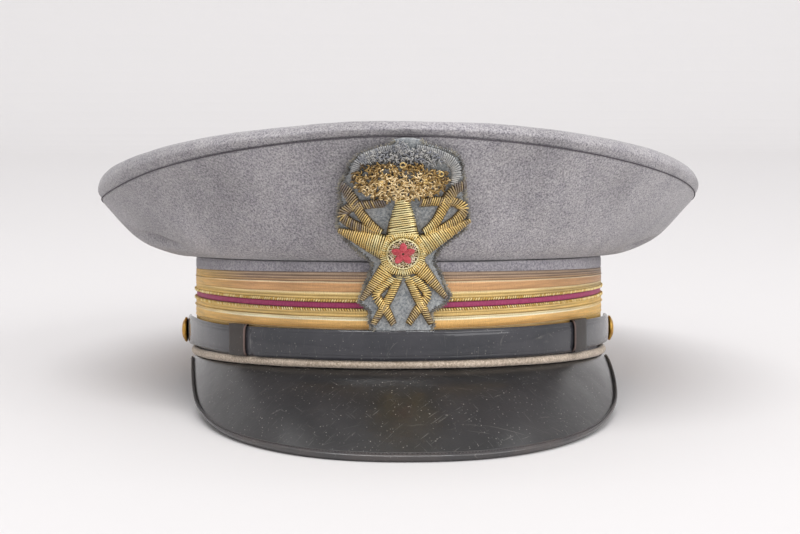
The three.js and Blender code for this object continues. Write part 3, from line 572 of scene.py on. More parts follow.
lace("upper_lace_weave", lambda a: STRIPE_TOP + lace_rise(a) - 0.05, lambda a: LACE_TOP, UPPER_WIDTH,
     UPPER_THREADS, upper_gold, "lace_upper")
lace("lower_lace_weave", lambda a: LACE_FOOT + lace_rise(a), lambda a: STRIPE_FOOT + lace_rise(a) + 0.05,
     LOWER_WIDTH, LOWER_THREADS, lower_gold, "lace_lower")

# %% [markdown]
# Each lace is sewn down along the silk stripe with slanting stitches of gilt thread. One function lays one
# wire or thread: a grid of a few faces, bent into an arch whose ends taper to a point, so that it is
# closed. It says where it lies in flat measures, and the function it is given as "place" carries it on to
# the cap. A float attribute, tarnish, is stored with each wire, and the metal's material reads it: 0 is
# bright gold and 1 is wire that has gone brown.

# %% Lay one thread, and sew the laces down
def tapered(u, thick, steep, power):
    """The radius of a thread that closes to a point at u 0 and u 1."""
    return thick * min(1, steep * math.sin(math.pi * u) ** power) if 0 < u < 1 else 0


def wire_grid(bm, steps, sides, place, tarnish):
    layer = bm.verts.layers.float.get("tarnish") or bm.verts.layers.float.new("tarnish")
    for vert in bend_grid(bm, steps, sides, place):
        vert[layer] = tarnish


def arched_wire(bm, middle, across, along, half, rise, base, wire, tarnish, place, steps=8, sides=6,
                full=0.85):
    def on_arch(u, v):
        turn, round_it = math.pi * u, math.tau * v
        radius = tapered(u, wire, 1.9, 0.6)
        side = (half + radius * math.cos(round_it)) * math.cos(turn)
        height = base + (rise + radius * math.cos(round_it)) * math.sin(turn) ** full
        spot = middle + across * side + along * (radius * math.sin(round_it))
        return place(spot.x, spot.y, height)

    wire_grid(bm, steps, sides, on_arch, tarnish)


def bullion(name, bright, mid, old, roughness=0.32, metal=0.75):
    material, tree, shader = new_material(name, {"Metallic": metal})
    age = add(tree, "Attribute", attribute_name="tarnish").outputs["Fac"]
    where = in_space(tree)
    spots = grains(tree, where, 1.8, 4.0, 0.65)
    uneven_age = maths(tree, "MULTIPLY_ADD", spots, 0.6, age)
    aged = maths(tree, "SUBTRACT", uneven_age, 0.3, clamp=True)
    plug(tree, shader, {"Base Color": ramp(tree, aged, [(0.0, bright), (0.9, old), (0.4, mid)])})
    rough = ranged(tree, aged, (0.0, 1.0), (roughness, 0.6))
    plug(tree, shader, {"Roughness": rough})
    return material


gilt_thread = bullion("gilt_thread", "#fff0b8", "#e0bc68", "#94743a", 0.35, 0.4)
STITCH_PITCH = 1.15


def on_lace(x, z, height):
    angle = 360 * x / LACE_ROUND
    return on_ring(LACE, angle, z + lace_rise(angle), height)


def sewn_edge(name, height, lean):
    bm = bmesh.new()
    count = round(LACE_ROUND / STITCH_PITCH)
    across = Vector((math.sin(lean), math.cos(lean)))
    for i in range(count):
        middle = Vector((LACE_ROUND * (i / count - 0.5), height + chance.gauss(0, 0.04)))
        arched_wire(bm, middle, across, Vector((across.y, -across.x)), 0.5, 0.35, 0.05, 0.31,
                    chance.uniform(0, 0.45), on_lace, steps=5, sides=5)
    finish_wires(bm, name, gilt_thread)


sewn_edge("upper_edge_stitches", STRIPE_TOP + 0.5, 0.6)
sewn_edge("lower_edge_stitches", STRIPE_FOOT - 0.5, -0.6)

# %% [markdown]
# ## The silk stripe
# Between the laces runs a maroon ribbon. Silk ribbon is woven with fine ribs across it and has a soft
# sheen.

# %% Model the stripe
maroon_silk, tree, shader = new_material("maroon_silk", {"Roughness": 0.6, "Sheen Weight": 0.05})
ribs = add(tree, "Mapping", {"Vector": add(tree, "UVMap"), "Scale": (2.2, 0.5, 1)})
streaks = add(tree, "TexNoise", {"Vector": ribs, "Scale": 1.0, "Detail": 4.0})
plug(tree, shader, {"Base Color": ramp(tree, streaks, [(0.3, "#8a2250"), (0.7, "#ac406e")])})
relief(tree, shader, streaks, 0.4, 0.15)


def stripe_ribbon(u, v):
    angle = angle_at(u)
    z = STRIPE_FOOT + lace_rise(angle) + 0.15 + (STRIPE_TOP - STRIPE_FOOT - 0.3) * v
    return on_ring(LACE, angle, z, -0.42 + 0.12 * math.sin(math.pi * v))


grid_piece("silk_stripe", (360, 8), stripe_ribbon, maroon_silk, ["stripe"], thick=0.6,
           flat=(LACE_ROUND, STRIPE_TOP - STRIPE_FOOT))

# %% [markdown]
# ## Piping
# A cord covered in beige wool runs round the foot of the band and hides the seam with the peak. Its grid is
# wrapped round the cord, and it is pressed flat where the cap rests.

# %% Model the piping
PIPING = 1.5
PIPING_HEIGHT = 1.3


def piping_cord(u, v):
    angle, round_it = angle_at(u), math.tau * v
    middle = on_ring(BAND, angle, PIPING_HEIGHT, GAP + PIPING)
    radius = PIPING * (1.02 + 0.05 * uneven(middle, 5) + 0.03 * math.sin(4 * round_it + 2.2 * angle * 1.65))
    height = PIPING_HEIGHT + radius * math.sin(round_it)
    return on_ring(BAND, angle, height, GAP + PIPING + radius * math.cos(round_it))


grid_piece("piping_cord", (480, 16), piping_cord, piping_wool, ["piping"], rests=True)

# %% [markdown]
# ## Black leather
# The peak and the straps are calfskin, blackened and lacquered, then polished and worn for years. Lacquer
# is a clear coat over a darker, rougher skin. The wear is what tells the eye that it is leather: fine
# scratches that run every way, pale dust in the grain, and browner patches where the black has rubbed thin.

# %% Material: worn black leather
def leather(name, base, rubbed, finish, dust, scratch=0.5):
    material, tree, shader = new_material(name, finish)
    where = in_space(tree)
    patches = grains(tree, where, 22, 5.0, 0.6)
    skin = ramp(tree, patches, [(0.38, base), (0.7, rubbed)])
    clusters = grains(tree, where, 16, 2.0)
    crowd = ranged(tree, clusters, (0.35, 0.65), (0.78, 0.08))
    spots = []
    for size, width in ((1.15, 0.17), (2.1, 0.12)):
        motes = add(tree, "TexVoronoi", {"Vector": where, "Scale": scale_of(size), "Randomness": 1.0})
        mote = ranged(tree, motes, (width * 0.6, width), (1.0, 0.0))
        drawn = add(tree, "SeparateColor", {0: motes.outputs["Color"]})
        chosen = maths(tree, "GREATER_THAN", drawn.outputs[0], crowd)
        pale = maths(tree, "MULTIPLY", mote, chosen)
        spots.append(maths(tree, "MULTIPLY", pale, drawn.outputs[1]))
    spot = maths(tree, "MAXIMUM", spots[0], spots[1])
    marks = []
    for turn, length, rare in ((0.75, 9, 0.68), (-0.9, 7, 0.69), (0.06, 16, 0.7)):
        laid = add(tree, "Mapping", {"Vector": where, "Rotation": (0, 0, turn),
                                     "Scale": (length, 0.4, length)}, vector_type="TEXTURE")
        line = grains(tree, laid, 1, 2.0)
        plug(tree, line, {"Distortion": 0.4})
        marks.append(ranged(tree, line, (rare, rare + 0.05), (0.0, 1.0)))
    two = maths(tree, "MAXIMUM", marks[0], marks[1])
    scratches = maths(tree, "MAXIMUM", two, marks[2])
    dusty = maths(tree, "MULTIPLY", spot, dust)
    marked = maths(tree, "MULTIPLY_ADD", scratches, scratch * 0.3, dusty, clamp=True)
    plug(tree, shader, {"Base Color": blend(tree, marked, skin, colour("#b4b0a8"))})
    rough = ranged(tree, patches, (0.3, 0.7), (finish["Roughness"] - 0.08, finish["Roughness"] + 0.1))
    rougher = maths(tree, "MULTIPLY_ADD", scratches, 0.2, rough, clamp=True)
    plug(tree, shader, {"Roughness": rougher})
    pores = grains(tree, where, 0.8, 3.0)
    dents = grains(tree, where, 7, 2.0)
    height = maths(tree, "MULTIPLY_ADD", dents, 3.0, pores)
    cut = maths(tree, "MULTIPLY_ADD", scratches, -0.4, height)
    relief(tree, shader, cut, 0.5, 0.1)
    return material


peak_leather = leather("lacquered_peak_leather", "#171718", "#201e1f",
                       {"Roughness": 0.36, "Coat Weight": 0.75, "Coat Roughness": 0.22}, dust=0.8)
strap_leather = leather("strap_leather", "#303136", "#3f3e43",
                        {"Roughness": 0.45, "Specular IOR Level": 0.2, "Coat Weight": 0.7,
                         "Coat Roughness": 0.05},
                        dust=0.45, scratch=0.35)
binding_leather = leather("binding_leather", "#333133", "#4f4744",
                          {"Roughness": 0.38, "Coat Weight": 0.7, "Coat Roughness": 0.15}, dust=0.3)
brown_leather = leather("worn_brown_leather", "#2e2a28", "#433c38", {"Roughness": 0.5}, dust=0.3)
print("leathers:", [m.name for m in (peak_leather, strap_leather, binding_leather, brown_leather)])

# %% [markdown]
# ## The peak
# The peak is one sheet of stiff leather. Its root follows the band, and its edge a flat oval near the table
# that rises at the two ends. Between them the sheet is slightly crowned.

# %% Model the peak
PEAK_THICK = 1.3
PEAK_TURN, ROOT_TURN = 86, 80
PEAK_MIDDLE, PEAK_HALF = (1.6, -12), (85, 132.8)
PEAK_REST, PEAK_RISE = 0.8, 12.2
CORNER_FROM, EAR_FROM = 46, 66
from_table = Matrix.Rotation(LEAN, 4, "X") @ Matrix.Translation(Vector((0, 0, -SEAT.z)))


def peak_root(turn):
    return on_ring(LACE, turn * ROOT_TURN / PEAK_TURN, -GAP - PEAK_THICK / 2)


def peak_edge(turn):
    bend = math.radians(turn)
    corner = max(abs(turn) - CORNER_FROM, 0) / (90 - CORNER_FROM)
    sideways = math.copysign(abs(math.sin(bend)) ** 0.88, turn)
    forward = max(math.cos(bend), 0) ** 0.83
    edge = from_table @ Vector((PEAK_MIDDLE[0] + PEAK_HALF[0] * sideways,
                                PEAK_MIDDLE[1] - PEAK_HALF[1] * forward,
                                PEAK_REST + PEAK_RISE * corner ** 1.9))
    ear = on_ring(LACE, turn * ROOT_TURN / PEAK_TURN, -3.0, 1.4)
    share = max(abs(turn) - EAR_FROM, 0) / (PEAK_TURN - EAR_FROM)
    return edge.lerp(ear, share * share)


def peak_middle(turn, along):
    point = peak_root(turn).lerp(peak_edge(turn), along)
    point.z += 1.6 * math.sin(math.pi * along) * math.cos(math.radians(turn))
    return point


def peak_frame(turn, along):
    outward = (peak_middle(turn, along + 0.01) - peak_middle(turn, along - 0.01)).normalized()
    sideways = peak_middle(turn + 0.5, along) - peak_middle(turn - 0.5, along)
    return outward, outward.cross(sideways).normalized()


def peak_top(u, v):
    turn = PEAK_TURN * (2 * u - 1)
    end = 1 - 0.95 / (peak_edge(turn) - peak_root(turn)).length
    flange = 0.07
    if v < flange:
        inner = on_ring(HEAD, turn * ROOT_TURN / PEAK_TURN, -GAP - PEAK_THICK / 2, 1.4)
        return inner.lerp(peak_root(turn), v / flange) + Vector((0, 0, PEAK_THICK / 2))
    along = (v - flange) / (1 - flange) * end
    point = peak_middle(turn, along)
    wave = 0.25 * uneven(point, 24) * math.sin(math.pi * along)
    return point + peak_frame(turn, along)[1] * (PEAK_THICK / 2 + wave)


grid_piece("peak_leather", (200, 60), peak_top, peak_leather, ["peak"], thick=PEAK_THICK)

# %% [markdown]
# A strip of thinner leather is folded round the peak's edge. In section it is a hairpin: the sheet runs out
# on top, round the edge and back underneath. The grid's v runs along that hairpin. Its upper border has a
# worn, raised lip, and a row of stitches is sunk just inside it.

# %% Model the binding and its stitches
BINDING = 0.6
BINDING_REACH = PEAK_THICK / 2 + GAP + BINDING
BINDING_WIDTH, BINDING_END = 2.2, 1.3
HAIRPIN = [
    # share of the way, inwards from the edge as a share of the width, rise as a share of the reach
    (0.0, 1.0, 0.36),
    (0.05, 1.0, 0.8),
    (0.1, 0.95, 1.12),
    (0.16, 0.86, 1.0),
    (0.21, 0.78, 0.78),
    (0.27, 0.66, 0.98),
    (0.36, 0.3, 1.0),
    (0.43, 0.08, 0.85),
    (0.5, 0.0, 0.4),
    (0.55, -0.02, 0.0),
    (0.6, 0.0, -0.5),
    (0.7, 0.25, -0.9),
    (1.0, 1.0, -1.0),
]


def binding_width(turn):
    return BINDING_WIDTH + (BINDING_END - BINDING_WIDTH) * (abs(turn) / PEAK_TURN) ** 4


def binding_strip(u, v):
    turn = PEAK_TURN * (2 * u - 1)
    outward, up = peak_frame(turn, 1)
    width = binding_width(turn) * (1 + 0.06 * uneven(Vector((turn, 0, 0)), 9))
    inwards, rise = through(HAIRPIN, 1, v) * width, through(HAIRPIN, 2, v) * BINDING_REACH
    return peak_middle(turn, 1) - outward * inwards + up * rise


grid_piece("binding_strip", (260, 44), binding_strip, binding_leather, ["peak_binding"],
           thick=BINDING * 0.8, rests=True)

BINDING_THREAD, BINDING_STITCHES, STITCH_LINE = 0.13, 230, 0.76


def on_binding(x, z, height):
    """x is degrees round the edge, z the way inwards in mm from the line of stitches."""
    outward, up = peak_frame(x, 1)
    inwards = binding_width(x) * STITCH_LINE + z
    return peak_middle(x, 1) - outward * inwards + up * (BINDING_REACH * 0.84 + height)


sewing_thread = new_material("grey_sewing_thread", {"Roughness": 0.7, "Base Color": colour("#6a6666")})[0]
bm = bmesh.new()
for i in range(BINDING_STITCHES):
    turn = 84 * (2 * (i + 0.5) / BINDING_STITCHES - 1)
    degrees = 0.26
    arched_wire(bm, Vector((turn, 0)), Vector((degrees, 0)), Vector((0, 1)), 1.0, 0.1, 0.0, BINDING_THREAD,
                0.0, on_binding, steps=5, sides=5)
finish_wires(bm, "binding_stitches", sewing_thread)

# %% [markdown]
# ## The chin strap
# Two lacquered straps lie over each other in front. Each has the section of a cut strap: a slightly crowned
# face, rounded edges and a line creased just inside them, which all catch the light. The section is a short
# table for its upper half, mirrored, and it shrinks to a point at both ends so that the strap is closed.

# %% Model the straps
STRAP_THICK = 1.1
STRAP_INNER = [
    # angle, back of the strap beyond the lace, height of its middle, half width
    (-94.6, 3.2, 9.0, 6.1),
    (-90, 2.7, 9.2, 6.1),
    (-80, 1.2, 9.5, 5.8),
    (-66, 0.4, 9.0, 5.5),
    (-52, 1.1, 8.6, 5.5),
    (-43, 1.1, 8.5, 5.5),
    (-39.5, 0.3, 8.5, 5.5),
    (0, 0.3, 8.3, 5.4),
    (46.5, 0.3, 9.1, 5.4),
]
STRAP_OUTER = [
    (-41.5, 2.4, 8.5, 5.6),
    (-36, 1.7, 8.5, 5.6),
    (0, 1.7, 8.2, 5.6),
    (44, 1.7, 9.0, 5.6),
    (60, 1.4, 9.8, 5.5),
    (80, 1.7, 9.8, 5.6),
    (90, 2.5, 9.3, 5.8),
    (94.6, 2.9, 9.0, 5.8),
]
END_DEGREES = 2.2
HALF_SECTION = [
    # share of the way round, height as a share of the half width, out as a share of the thickness
    (0.0, 0.0, 0.0),
    (0.14, 0.9, 0.0),
    (0.18, 0.985, 0.12),
    (0.21, 1.0, 0.3),
    (0.25, 0.93, 0.66),
    (0.28, 0.84, 0.92),
    (0.31, 0.76, 1.02),
    (0.335, 0.72, 0.95),
    (0.36, 0.68, 1.04),
    (0.41, 0.5, 1.16),
    (0.5, 0.0, 1.24),
]
STRAP_SECTION = HALF_SECTION + [(1 - way, -height, out) for way, height, out in reversed(HALF_SECTION[:-1])]


def strap(name, rows, node):
    first, last = rows[0][0], rows[-1][0]

    def place(u, v):
        angle = first + (last - first) * u
        to_end = min(angle - first, last - angle) / END_DEGREES
        narrow = math.sqrt(max(1 - (1 - min(to_end, 1)) ** 2, 0))
        half = through(rows, 3, angle) * narrow
        height = through(STRAP_SECTION, 1, v) * half
        away = through(rows, 1, angle) + through(STRAP_SECTION, 2, v) * STRAP_THICK * min(narrow * 3, 1)
        point = on_ring(LACE, angle, through(rows, 2, angle) + height, away)
        waves = 0.1 * uneven(Vector((angle, height / 2, 0)), 8)
        waves += 0.05 * uneven(Vector((angle * 2, height, 7)), 3)
        return point + Vector((0, -waves, waves))

    grid_piece(name, (260, 56), place, strap_leather, [node])


strap("inner_strap", STRAP_INNER, "strap_inner")
strap("outer_strap", STRAP_OUTER, "strap_outer")

# %% [markdown]
# ## Loops and buttons
# The two leather loops are right as solids, and only their corners are too sharp. A copy of each solid is
# merged, and bmesh.ops.bevel rounds every edge that turns by more than 50 degrees. The inner edge of each
# loop is a raw cut, which is browner and stands up a little, so it is a thin rod of its own. The buttons
# are turned shapes, so a profile is drawn with a few vertices and bmesh.ops.spin carries it all the way
# round.

# %% Model the loops and the buttons
def bevelled_copy(node, name, offset):
    bm = bmesh.new()
    bm.from_mesh(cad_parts[node].data)
    bmesh.ops.remove_doubles(bm, verts=bm.verts, dist=0.01 * MM)
    sharp = [edge for edge in bm.edges if edge.is_manifold and edge.calc_face_angle() > math.radians(50)]
    bmesh.ops.bevel(bm, geom=sharp, offset=offset * MM, offset_type="OFFSET", segments=2, profile=0.5,
                    affect="EDGES", material=-1)
    bm.transform(to_table.inverted())
    finish_piece(bm, name, brown_leather, [node])


bevelled_copy("slider_left", "left_loop", 0.25)
bevelled_copy("slider_right", "right_loop", 0.25)

edge_leather = leather("raw_leather_edge", "#5a4a46", "#7a6660", {"Roughness": 0.6}, dust=0.2)


def loop_edge(name, angle, middle, half, out):
    def cut_edge(u, v):
        height, round_it = half * (2 * u - 1), math.tau * v
        radius = tapered(u, 0.42, 3, 0.7)
        bowed = out - 1.5 * abs(2 * u - 1) ** 6 + radius * math.sin(round_it)
        return on_ring(LACE, angle + 0.65 * radius * math.cos(round_it), middle + height, bowed)

    grid_piece(name, (40, 8), cut_edge, edge_leather)


loop_edge("left_loop_edge", -43.2, 8.8, 6.2, 3.2)
loop_edge("right_loop_edge", 48.6, 9.5, 6.2, 3.75)

gilt_brass = mottled("gilt_brass", {"Metallic": 1.0, "Roughness": 0.28}, 3, 4.0,
                     [(0.35, "#a8742a"), (0.6, "#e5b65a")])
BUTTON_PROFILE = [(0, 2.4), (1.8, 2.3), (3.2, 2.0), (4.2, 1.5), (4.5, 1.1), (4.75, 1.05), (5.1, 1.0),
                  (5.2, 0.7), (5.1, 0.2), (4.6, 0), (0, 0)]


def button(name, node):
    low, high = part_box(node)
    side = math.copysign(1, low.x)
    bm = bmesh.new()
    corners = [bm.verts.new((radius, 0, height)) for radius, height in BUTTON_PROFILE]
    edges = [bm.edges.new(pair) for pair in zip(corners, corners[1:])]
    bmesh.ops.spin(bm, geom=corners + edges, cent=(0, 0, 0), axis=(0, 0, 1), angle=math.tau, steps=40,
                   use_merge=True)
    close_up(bm)
    turned = Matrix.Rotation(side * math.pi / 2, 4, "Y")
    base_x = (low.x if side > 0 else high.x) / MM
    middle = Vector((base_x, (low.y + high.y) / 2 / MM, (low.z + high.z) / 2 / MM))
    bm.transform(to_table.inverted() @ Matrix.Scale(MM, 4) @ Matrix.Translation(middle) @ turned)
    finish_piece(bm, name, gilt_brass, [node])


button("left_button", "button_left")
button("right_button", "button_right")

# %% [markdown]
# ## The badge
# The badge is goldwork embroidery. Felt padding is cut to shape and sewn on a patch, and short lengths of
# bullion, a wire wound as tight as a spring, are laid across the padding side by side. The solids are that
# padding, so they stay, as dark brown felt, and every wire is laid over them as a small arched tube of its
# own.
# The padding's dark brown is partly its own colour and partly painted shade for the gaps between the wires.
# Bump alone would be too smooth: each wire sits a little differently, and each catches its own glint.

# %% The badge's surface
PATCH_BACK = [(13, 0.7), (30, 0.7), (37, 1.1), (41, 2.4), (44, 4.6), (47, 6.9), (55, 12.1), (66, 19.1),
              (81.5, 30.2)]
PATCH_THICK = 1.5


def patch_back(x, z):
    out = through(PATCH_BACK, 1, z) + 0.0016 * x * x
    ring = (LACE[0] + out * 1.29, LACE[1] + out)
    return on_ring(ring, math.degrees(math.asin(x / ring[0])), z)


def on_badge(x, z, rise):
    """A place on the badge as seen from the front, and a height above the back of the patch."""
    sideways = patch_back(x + 1, z) - patch_back(x - 1, z)
    level = sideways.cross(patch_back(x, z + 1) - patch_back(x, z - 1)).normalized()
    level.z = 0
    return patch_back(x, z) + level * (rise / level.length_squared)


def dress_padding(node, material):
    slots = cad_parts[node].data.materials
    slots.clear()
    slots.append(material)


print("the badge leans out by", round(on_badge(0, 81, 0).y - on_badge(0, 14, 0).y, 1), "mm")

# %% [markdown]
# The patch is a piece of blue-grey felt, cut out roughly by hand. Its grid runs between a left and a right
# border, whose wobble comes from noise, and overcast threads hold its raw edge.

# %% Model the patch
PATCH_OUTLINE = [
    # height, left border, right border
    (13.6, -11.4, 9.9),
    (16, -13, 10.6),
    (20.5, -13.2, 10.5),
    (23.4, -16.2, 15.0),
    (26, -16.0, 16.6),
    (29.5, -14.9, 15.2),
    (34, -12.9, 13.4),
    (38, -12.3, 11.3),
    (42, -17.0, 12.4),
    (45.5, -20.4, 15.5),
    (49.5, -23.6, 20.9),
    (54, -24.4, 22.6),
    (59, -23.4, 22.0),
    (65, -23.8, 20.9),
    (70.5, -20.9, 20.4),
    (73.5, -19.6, 19.6),
    (75.6, -17.4, 18.4),
    (77.2, -13.4, 15.6),
    (78.4, -9.4, 11.8),
    (79.5, -6.0, 7.6),
    (80.6, -5.0, 5.6),
    (81.3, -3.8, 4.4),
]


def patch_border(height, side):
    edge = through(PATCH_OUTLINE, side, height) + 0.5 * uneven(Vector((side * 40, height, 0)), 2.3)
    return edge + 0.25 * uneven(Vector((side * 40, height, 9)), 0.9)


def patch_front(u, v):
    height = PATCH_OUTLINE[0][0] + (PATCH_OUTLINE[-1][0] - PATCH_OUTLINE[0][0]) * v
    left, right = patch_border(height, 1), patch_border(height, 2)
    x = left + (right - left) * u
    soft = 0.35 * uneven(Vector((x, height, 0)), 6) + 0.15 * uneven(Vector((x, height, 4)), 1.6)
    near_edge = min(u, 1 - u) * (right - left)
    curl = 0.5 * math.exp(-near_edge / 1.2)
    return on_badge(x, height, PATCH_THICK + soft * 0.6 - curl)


grid_piece("badge_felt", (90, 130), patch_front, patch_felt, ["badge_patch"],
           thick=PATCH_THICK * 0.75)

# %% [markdown]
# The felt's raw edge frays, and it is overcast with thin thread. A chip is a short bit of thread or wire
# that may curl: it follows an arc of a circle, and it bends up in the middle.

# %% Overcast the patch's edge
def chip(bm, spot, turn, height, length, thick, bend, tarnish, curl=0.02, steps=6, sides=5):
    def on_chip(u, v):
        bent, round_it = curl * (u - 0.5), math.tau * v
        radius = tapered(u, thick, 2.2, 0.5)
        forward, aside = length / curl * math.sin(bent), length / curl * (1 - math.cos(bent))
        aside += radius * math.cos(round_it) * math.cos(bent)
        forward -= radius * math.cos(round_it) * math.sin(bent)
        x = spot.x + forward * math.cos(turn) - aside * math.sin(turn)
        z = spot.y + forward * math.sin(turn) + aside * math.cos(turn)
        return on_badge(x, z, height + bend * math.sin(math.pi * u) + radius * math.sin(round_it))

    wire_grid(bm, steps, sides, on_chip, tarnish)


thread_grey = mottled("overcast_thread", {"Roughness": 0.8}, 5, 2.0, [(0.4, "#66635f"), (0.6, "#9c9688")])
bm = bmesh.new()
for side in (1, 2):
    height = PATCH_OUTLINE[0][0]
    while height < PATCH_OUTLINE[-1][0] - 0.4:
        slope = math.atan(patch_border(height + 0.4, side) - patch_border(height - 0.4, side)) / 0.8
        inwards = 0.5 if side == 1 else -0.5
        spot = Vector((patch_border(height, side) + inwards, height))
        chip(bm, spot, chance.gauss(0.2, 0.45) - slope * 0.8, PATCH_THICK * 0.8, chance.uniform(1.4, 2.8),
             0.17, 0.5, 0.0, chance.uniform(-2.5, 2.5))
        height += chance.uniform(0.2, 0.6) / math.sqrt(1 + slope * slope)
finish_wires(bm, "badge_edge_threads", thread_grey)

# %% [markdown]
# ## The star
# Bullion is gilt copper wire. Where the gilding has worn off, or sulphur has reached it, it turns from gold
# to brown and near black, and it loses its shine. The tarnish attribute drives both. A strand of padding is
# filled with wires one by one, each a little uneven, across a line that runs smoothly through a few points.

# %% Fill a strand with wires
gold_wire = bullion("gilt_bullion", "#fff4c0", "#fbdc92", "#8d8480", 0.28, 0.65)
purl_wire = bullion("gilt_purl", "#ffe9bc", "#b99a62", "#73614a", 0.22, 0.85)
pale_wire = bullion("pale_bullion", "#fff4e0", "#e4d0a8", "#a0906f")
grey_wire = bullion("tarnished_silver_bullion", "#dad7d0", "#b6b5b2", "#8b8d94", 0.5, 0.4)


def strand_line(rows):
    """Points every quarter of a millimetre along a strand, each with the half width there."""
    points = [Vector(row) for row in rows]
    fine = []
    for i in range(len(points) - 1):
        before, start, end = points[max(i - 1, 0)], points[i], points[i + 1]
        after = points[min(i + 2, len(points) - 1)]
        steps = max(int((end - start).length * 4), 2)
        pull = (end - before) * 0.5, (after - start) * 0.5
        for k in range(steps):
            t = k / steps
            fine.append(start + pull[0] * t + (3 * (end - start) - 2 * pull[0] - pull[1]) * t ** 2
                        + (2 * (start - end) + pull[0] + pull[1]) * t ** 3)
    return fine + [points[-1]]


def wire_strand(bm, rows, pitch, wire, tarnish, skip=0.0, lift=0.2, slant=0.12):
    """Fills a strand with wires. Rows hold x, z and half width; tarnish has a value for each end."""
    line = strand_line(rows)
    gone, due = 0.0, skip
    total = sum((b - a).to_2d().length for a, b in zip(line, line[1:]))
    for i, (a, b) in enumerate(zip(line, line[1:])):
        step = (b - a).to_2d().length
        while due < gone + step:
            spot = a.lerp(b, (due - gone) / step)
            along = (line[min(i + 5, len(line) - 1)] - line[max(i - 5, 0)]).to_2d().normalized()
            along.rotate(Matrix.Rotation(chance.gauss(slant, 0.025), 2))
            across = Vector((-along.y, along.x))
            half = max(spot.z * chance.uniform(0.94, 1.03) - 0.15, 0.4)
            age = tarnish[0] + (tarnish[1] - tarnish[0]) * due / total + chance.gauss(0, 0.09)
            arched_wire(bm, spot.to_2d() + across * chance.gauss(0, 0.06), across, along, half,
                        min(spot.z * 0.7, 2.75) + lift, PATCH_THICK + 0.15, wire, min(max(age, 0), 1),
                        on_badge, full=0.6)
            due += pitch * chance.uniform(0.95, 1.05)
        gone += step


HUB = Vector((-0.7, 41.3))
STAR_ARMS = [
    # x, z and half width of each point, then how tarnished the arm is at the hub and at the tip
    ([(-0.7, 41.3, 6.6), (-1.0, 50.4, 5.4), (-1.1, 60.4, 2.6)], (0.0, 0.1)),
    ([(-0.7, 41.3, 6.0), (-10.2, 44.9, 4.1), (-23.4, 50.0, 0.8)], (-0.1, 0.65)),
    ([(-0.7, 41.3, 6.0), (8.4, 45.6, 3.7), (22.4, 53.2, 0.8)], (-0.1, 0.65)),
    ([(-0.7, 41.3, 5.0), (-7.4, 34.6, 2.8), (-15.2, 24.9, 0.9)], (0.0, 0.8)),
    ([(-0.7, 41.3, 5.0), (6.4, 35.2, 2.7), (14.8, 25.3, 0.9)], (0.0, 0.8)),
]
STAR_PITCH, STAR_WIRE, DISC_EDGE = 0.78, 0.285, 5.6
bm = bmesh.new()
for rows, ages in STAR_ARMS:
    wire_strand(bm, rows, STAR_PITCH, STAR_WIRE, ages, skip=DISC_EDGE, lift=0.5)
RADIAL_WIRES = 60
for i in range(RADIAL_WIRES):
    turn = math.tau * i / RADIAL_WIRES
    out = heading(turn)
    arched_wire(bm, HUB + out * chance.uniform(6.3, 6.6), out, Vector((-out.y, out.x)), 1.35, 1.0,
                PATCH_THICK + 2.5, 0.25, chance.uniform(0, 0.4), on_badge)
finish_wires(bm, "star_wires", gold_wire)
dress_padding("badge_star", padding_and_gap_shade)

# %% [markdown]
# ## Serpents and tails
# Two serpents coil beside the top arm, and two pairs of tails hang below the star. They are the same
# bullion over thinner padding, a little further apart, so the padding's painted shade shows as dark gaps
# between the wires. The outer coils are older.

# %% Model the serpents and the tails
STRANDS = {
    "badge_serpent_left": [
        ([(-22.0, 65.6, 1.5), (-19.4, 62.4, 2.4), (-16.2, 56.8, 1.8), (-12.8, 52.4, 1.8), (-8.6, 48.6, 1.8)],
         (0.9, 0.4)),
        ([(-7.4, 59.6, 1.7), (-14, 58.8, 1.6), (-19.6, 57.8, 1.8), (-21.8, 55.0, 1.9), (-18.6, 52.1, 1.9),
          (-13.8, 49.9, 1.9), (-9.4, 47.8, 1.9)], (0.8, 0.65)),
    ],
    "badge_serpent_right": [
        ([(20.6, 65.8, 1.6), (16.4, 63.4, 2.3), (13.0, 57.3, 1.9), (10.6, 52.8, 1.8), (6.8, 48.8, 1.8)],
         (0.9, 0.15)),
        ([(5.2, 59.6, 1.7), (11, 60.0, 1.7), (17.4, 59.6, 1.8), (20.3, 57.2, 1.9), (17.6, 53.2, 1.9),
          (12.7, 50.1, 1.9), (8.2, 47.9, 1.9)], (0.6, 0.45)),
    ],
    "badge_tails_left": [
        ([(-1.6, 33.8, 1.4), (-6.0, 24.6, 1.7), (-11.2, 16.0, 1.1)], (0.15, 0.8)),
        ([(-4.2, 32.8, 1.7), (-10.0, 26.8, 1.7), (-6.6, 21.2, 1.7), (-4.0, 16.0, 1.2)], (0.2, 0.7)),
    ],
    "badge_tails_right": [
        ([(0.6, 33.8, 1.4), (5.2, 24.2, 1.7), (9.4, 16.0, 1.1)], (0.15, 0.8)),
        ([(3.0, 33.0, 1.7), (7.9, 26.8, 1.7), (4.2, 20.8, 1.7), (1.2, 16.0, 1.2)], (0.2, 0.7)),
    ],
}
STRAND_PITCH, STRAND_WIRE, STRAND_SLANT = 0.8, 0.25, 0.36
for node, strands in STRANDS.items():
    side = 1 if node.endswith("left") else -1
    bm = bmesh.new()
    for rows, ages in strands:
        wire_strand(bm, rows, STRAND_PITCH, STRAND_WIRE, ages, lift=0.45, slant=STRAND_SLANT * side)
    finish_wires(bm, node.replace("badge_", "") + "_wires", gold_wire)
    dress_padding(node, padding_and_gap_shade)

# %% [markdown]
# ## The disc and its rosette
# The star's middle is filled with chips: bullion cut into bits a millimetre long and sewn down in every
# direction, inside a ring of two wires twisted together. On it lies a small rosette in red silk, whose five
# petals are satin stitch, long smooth threads side by side.

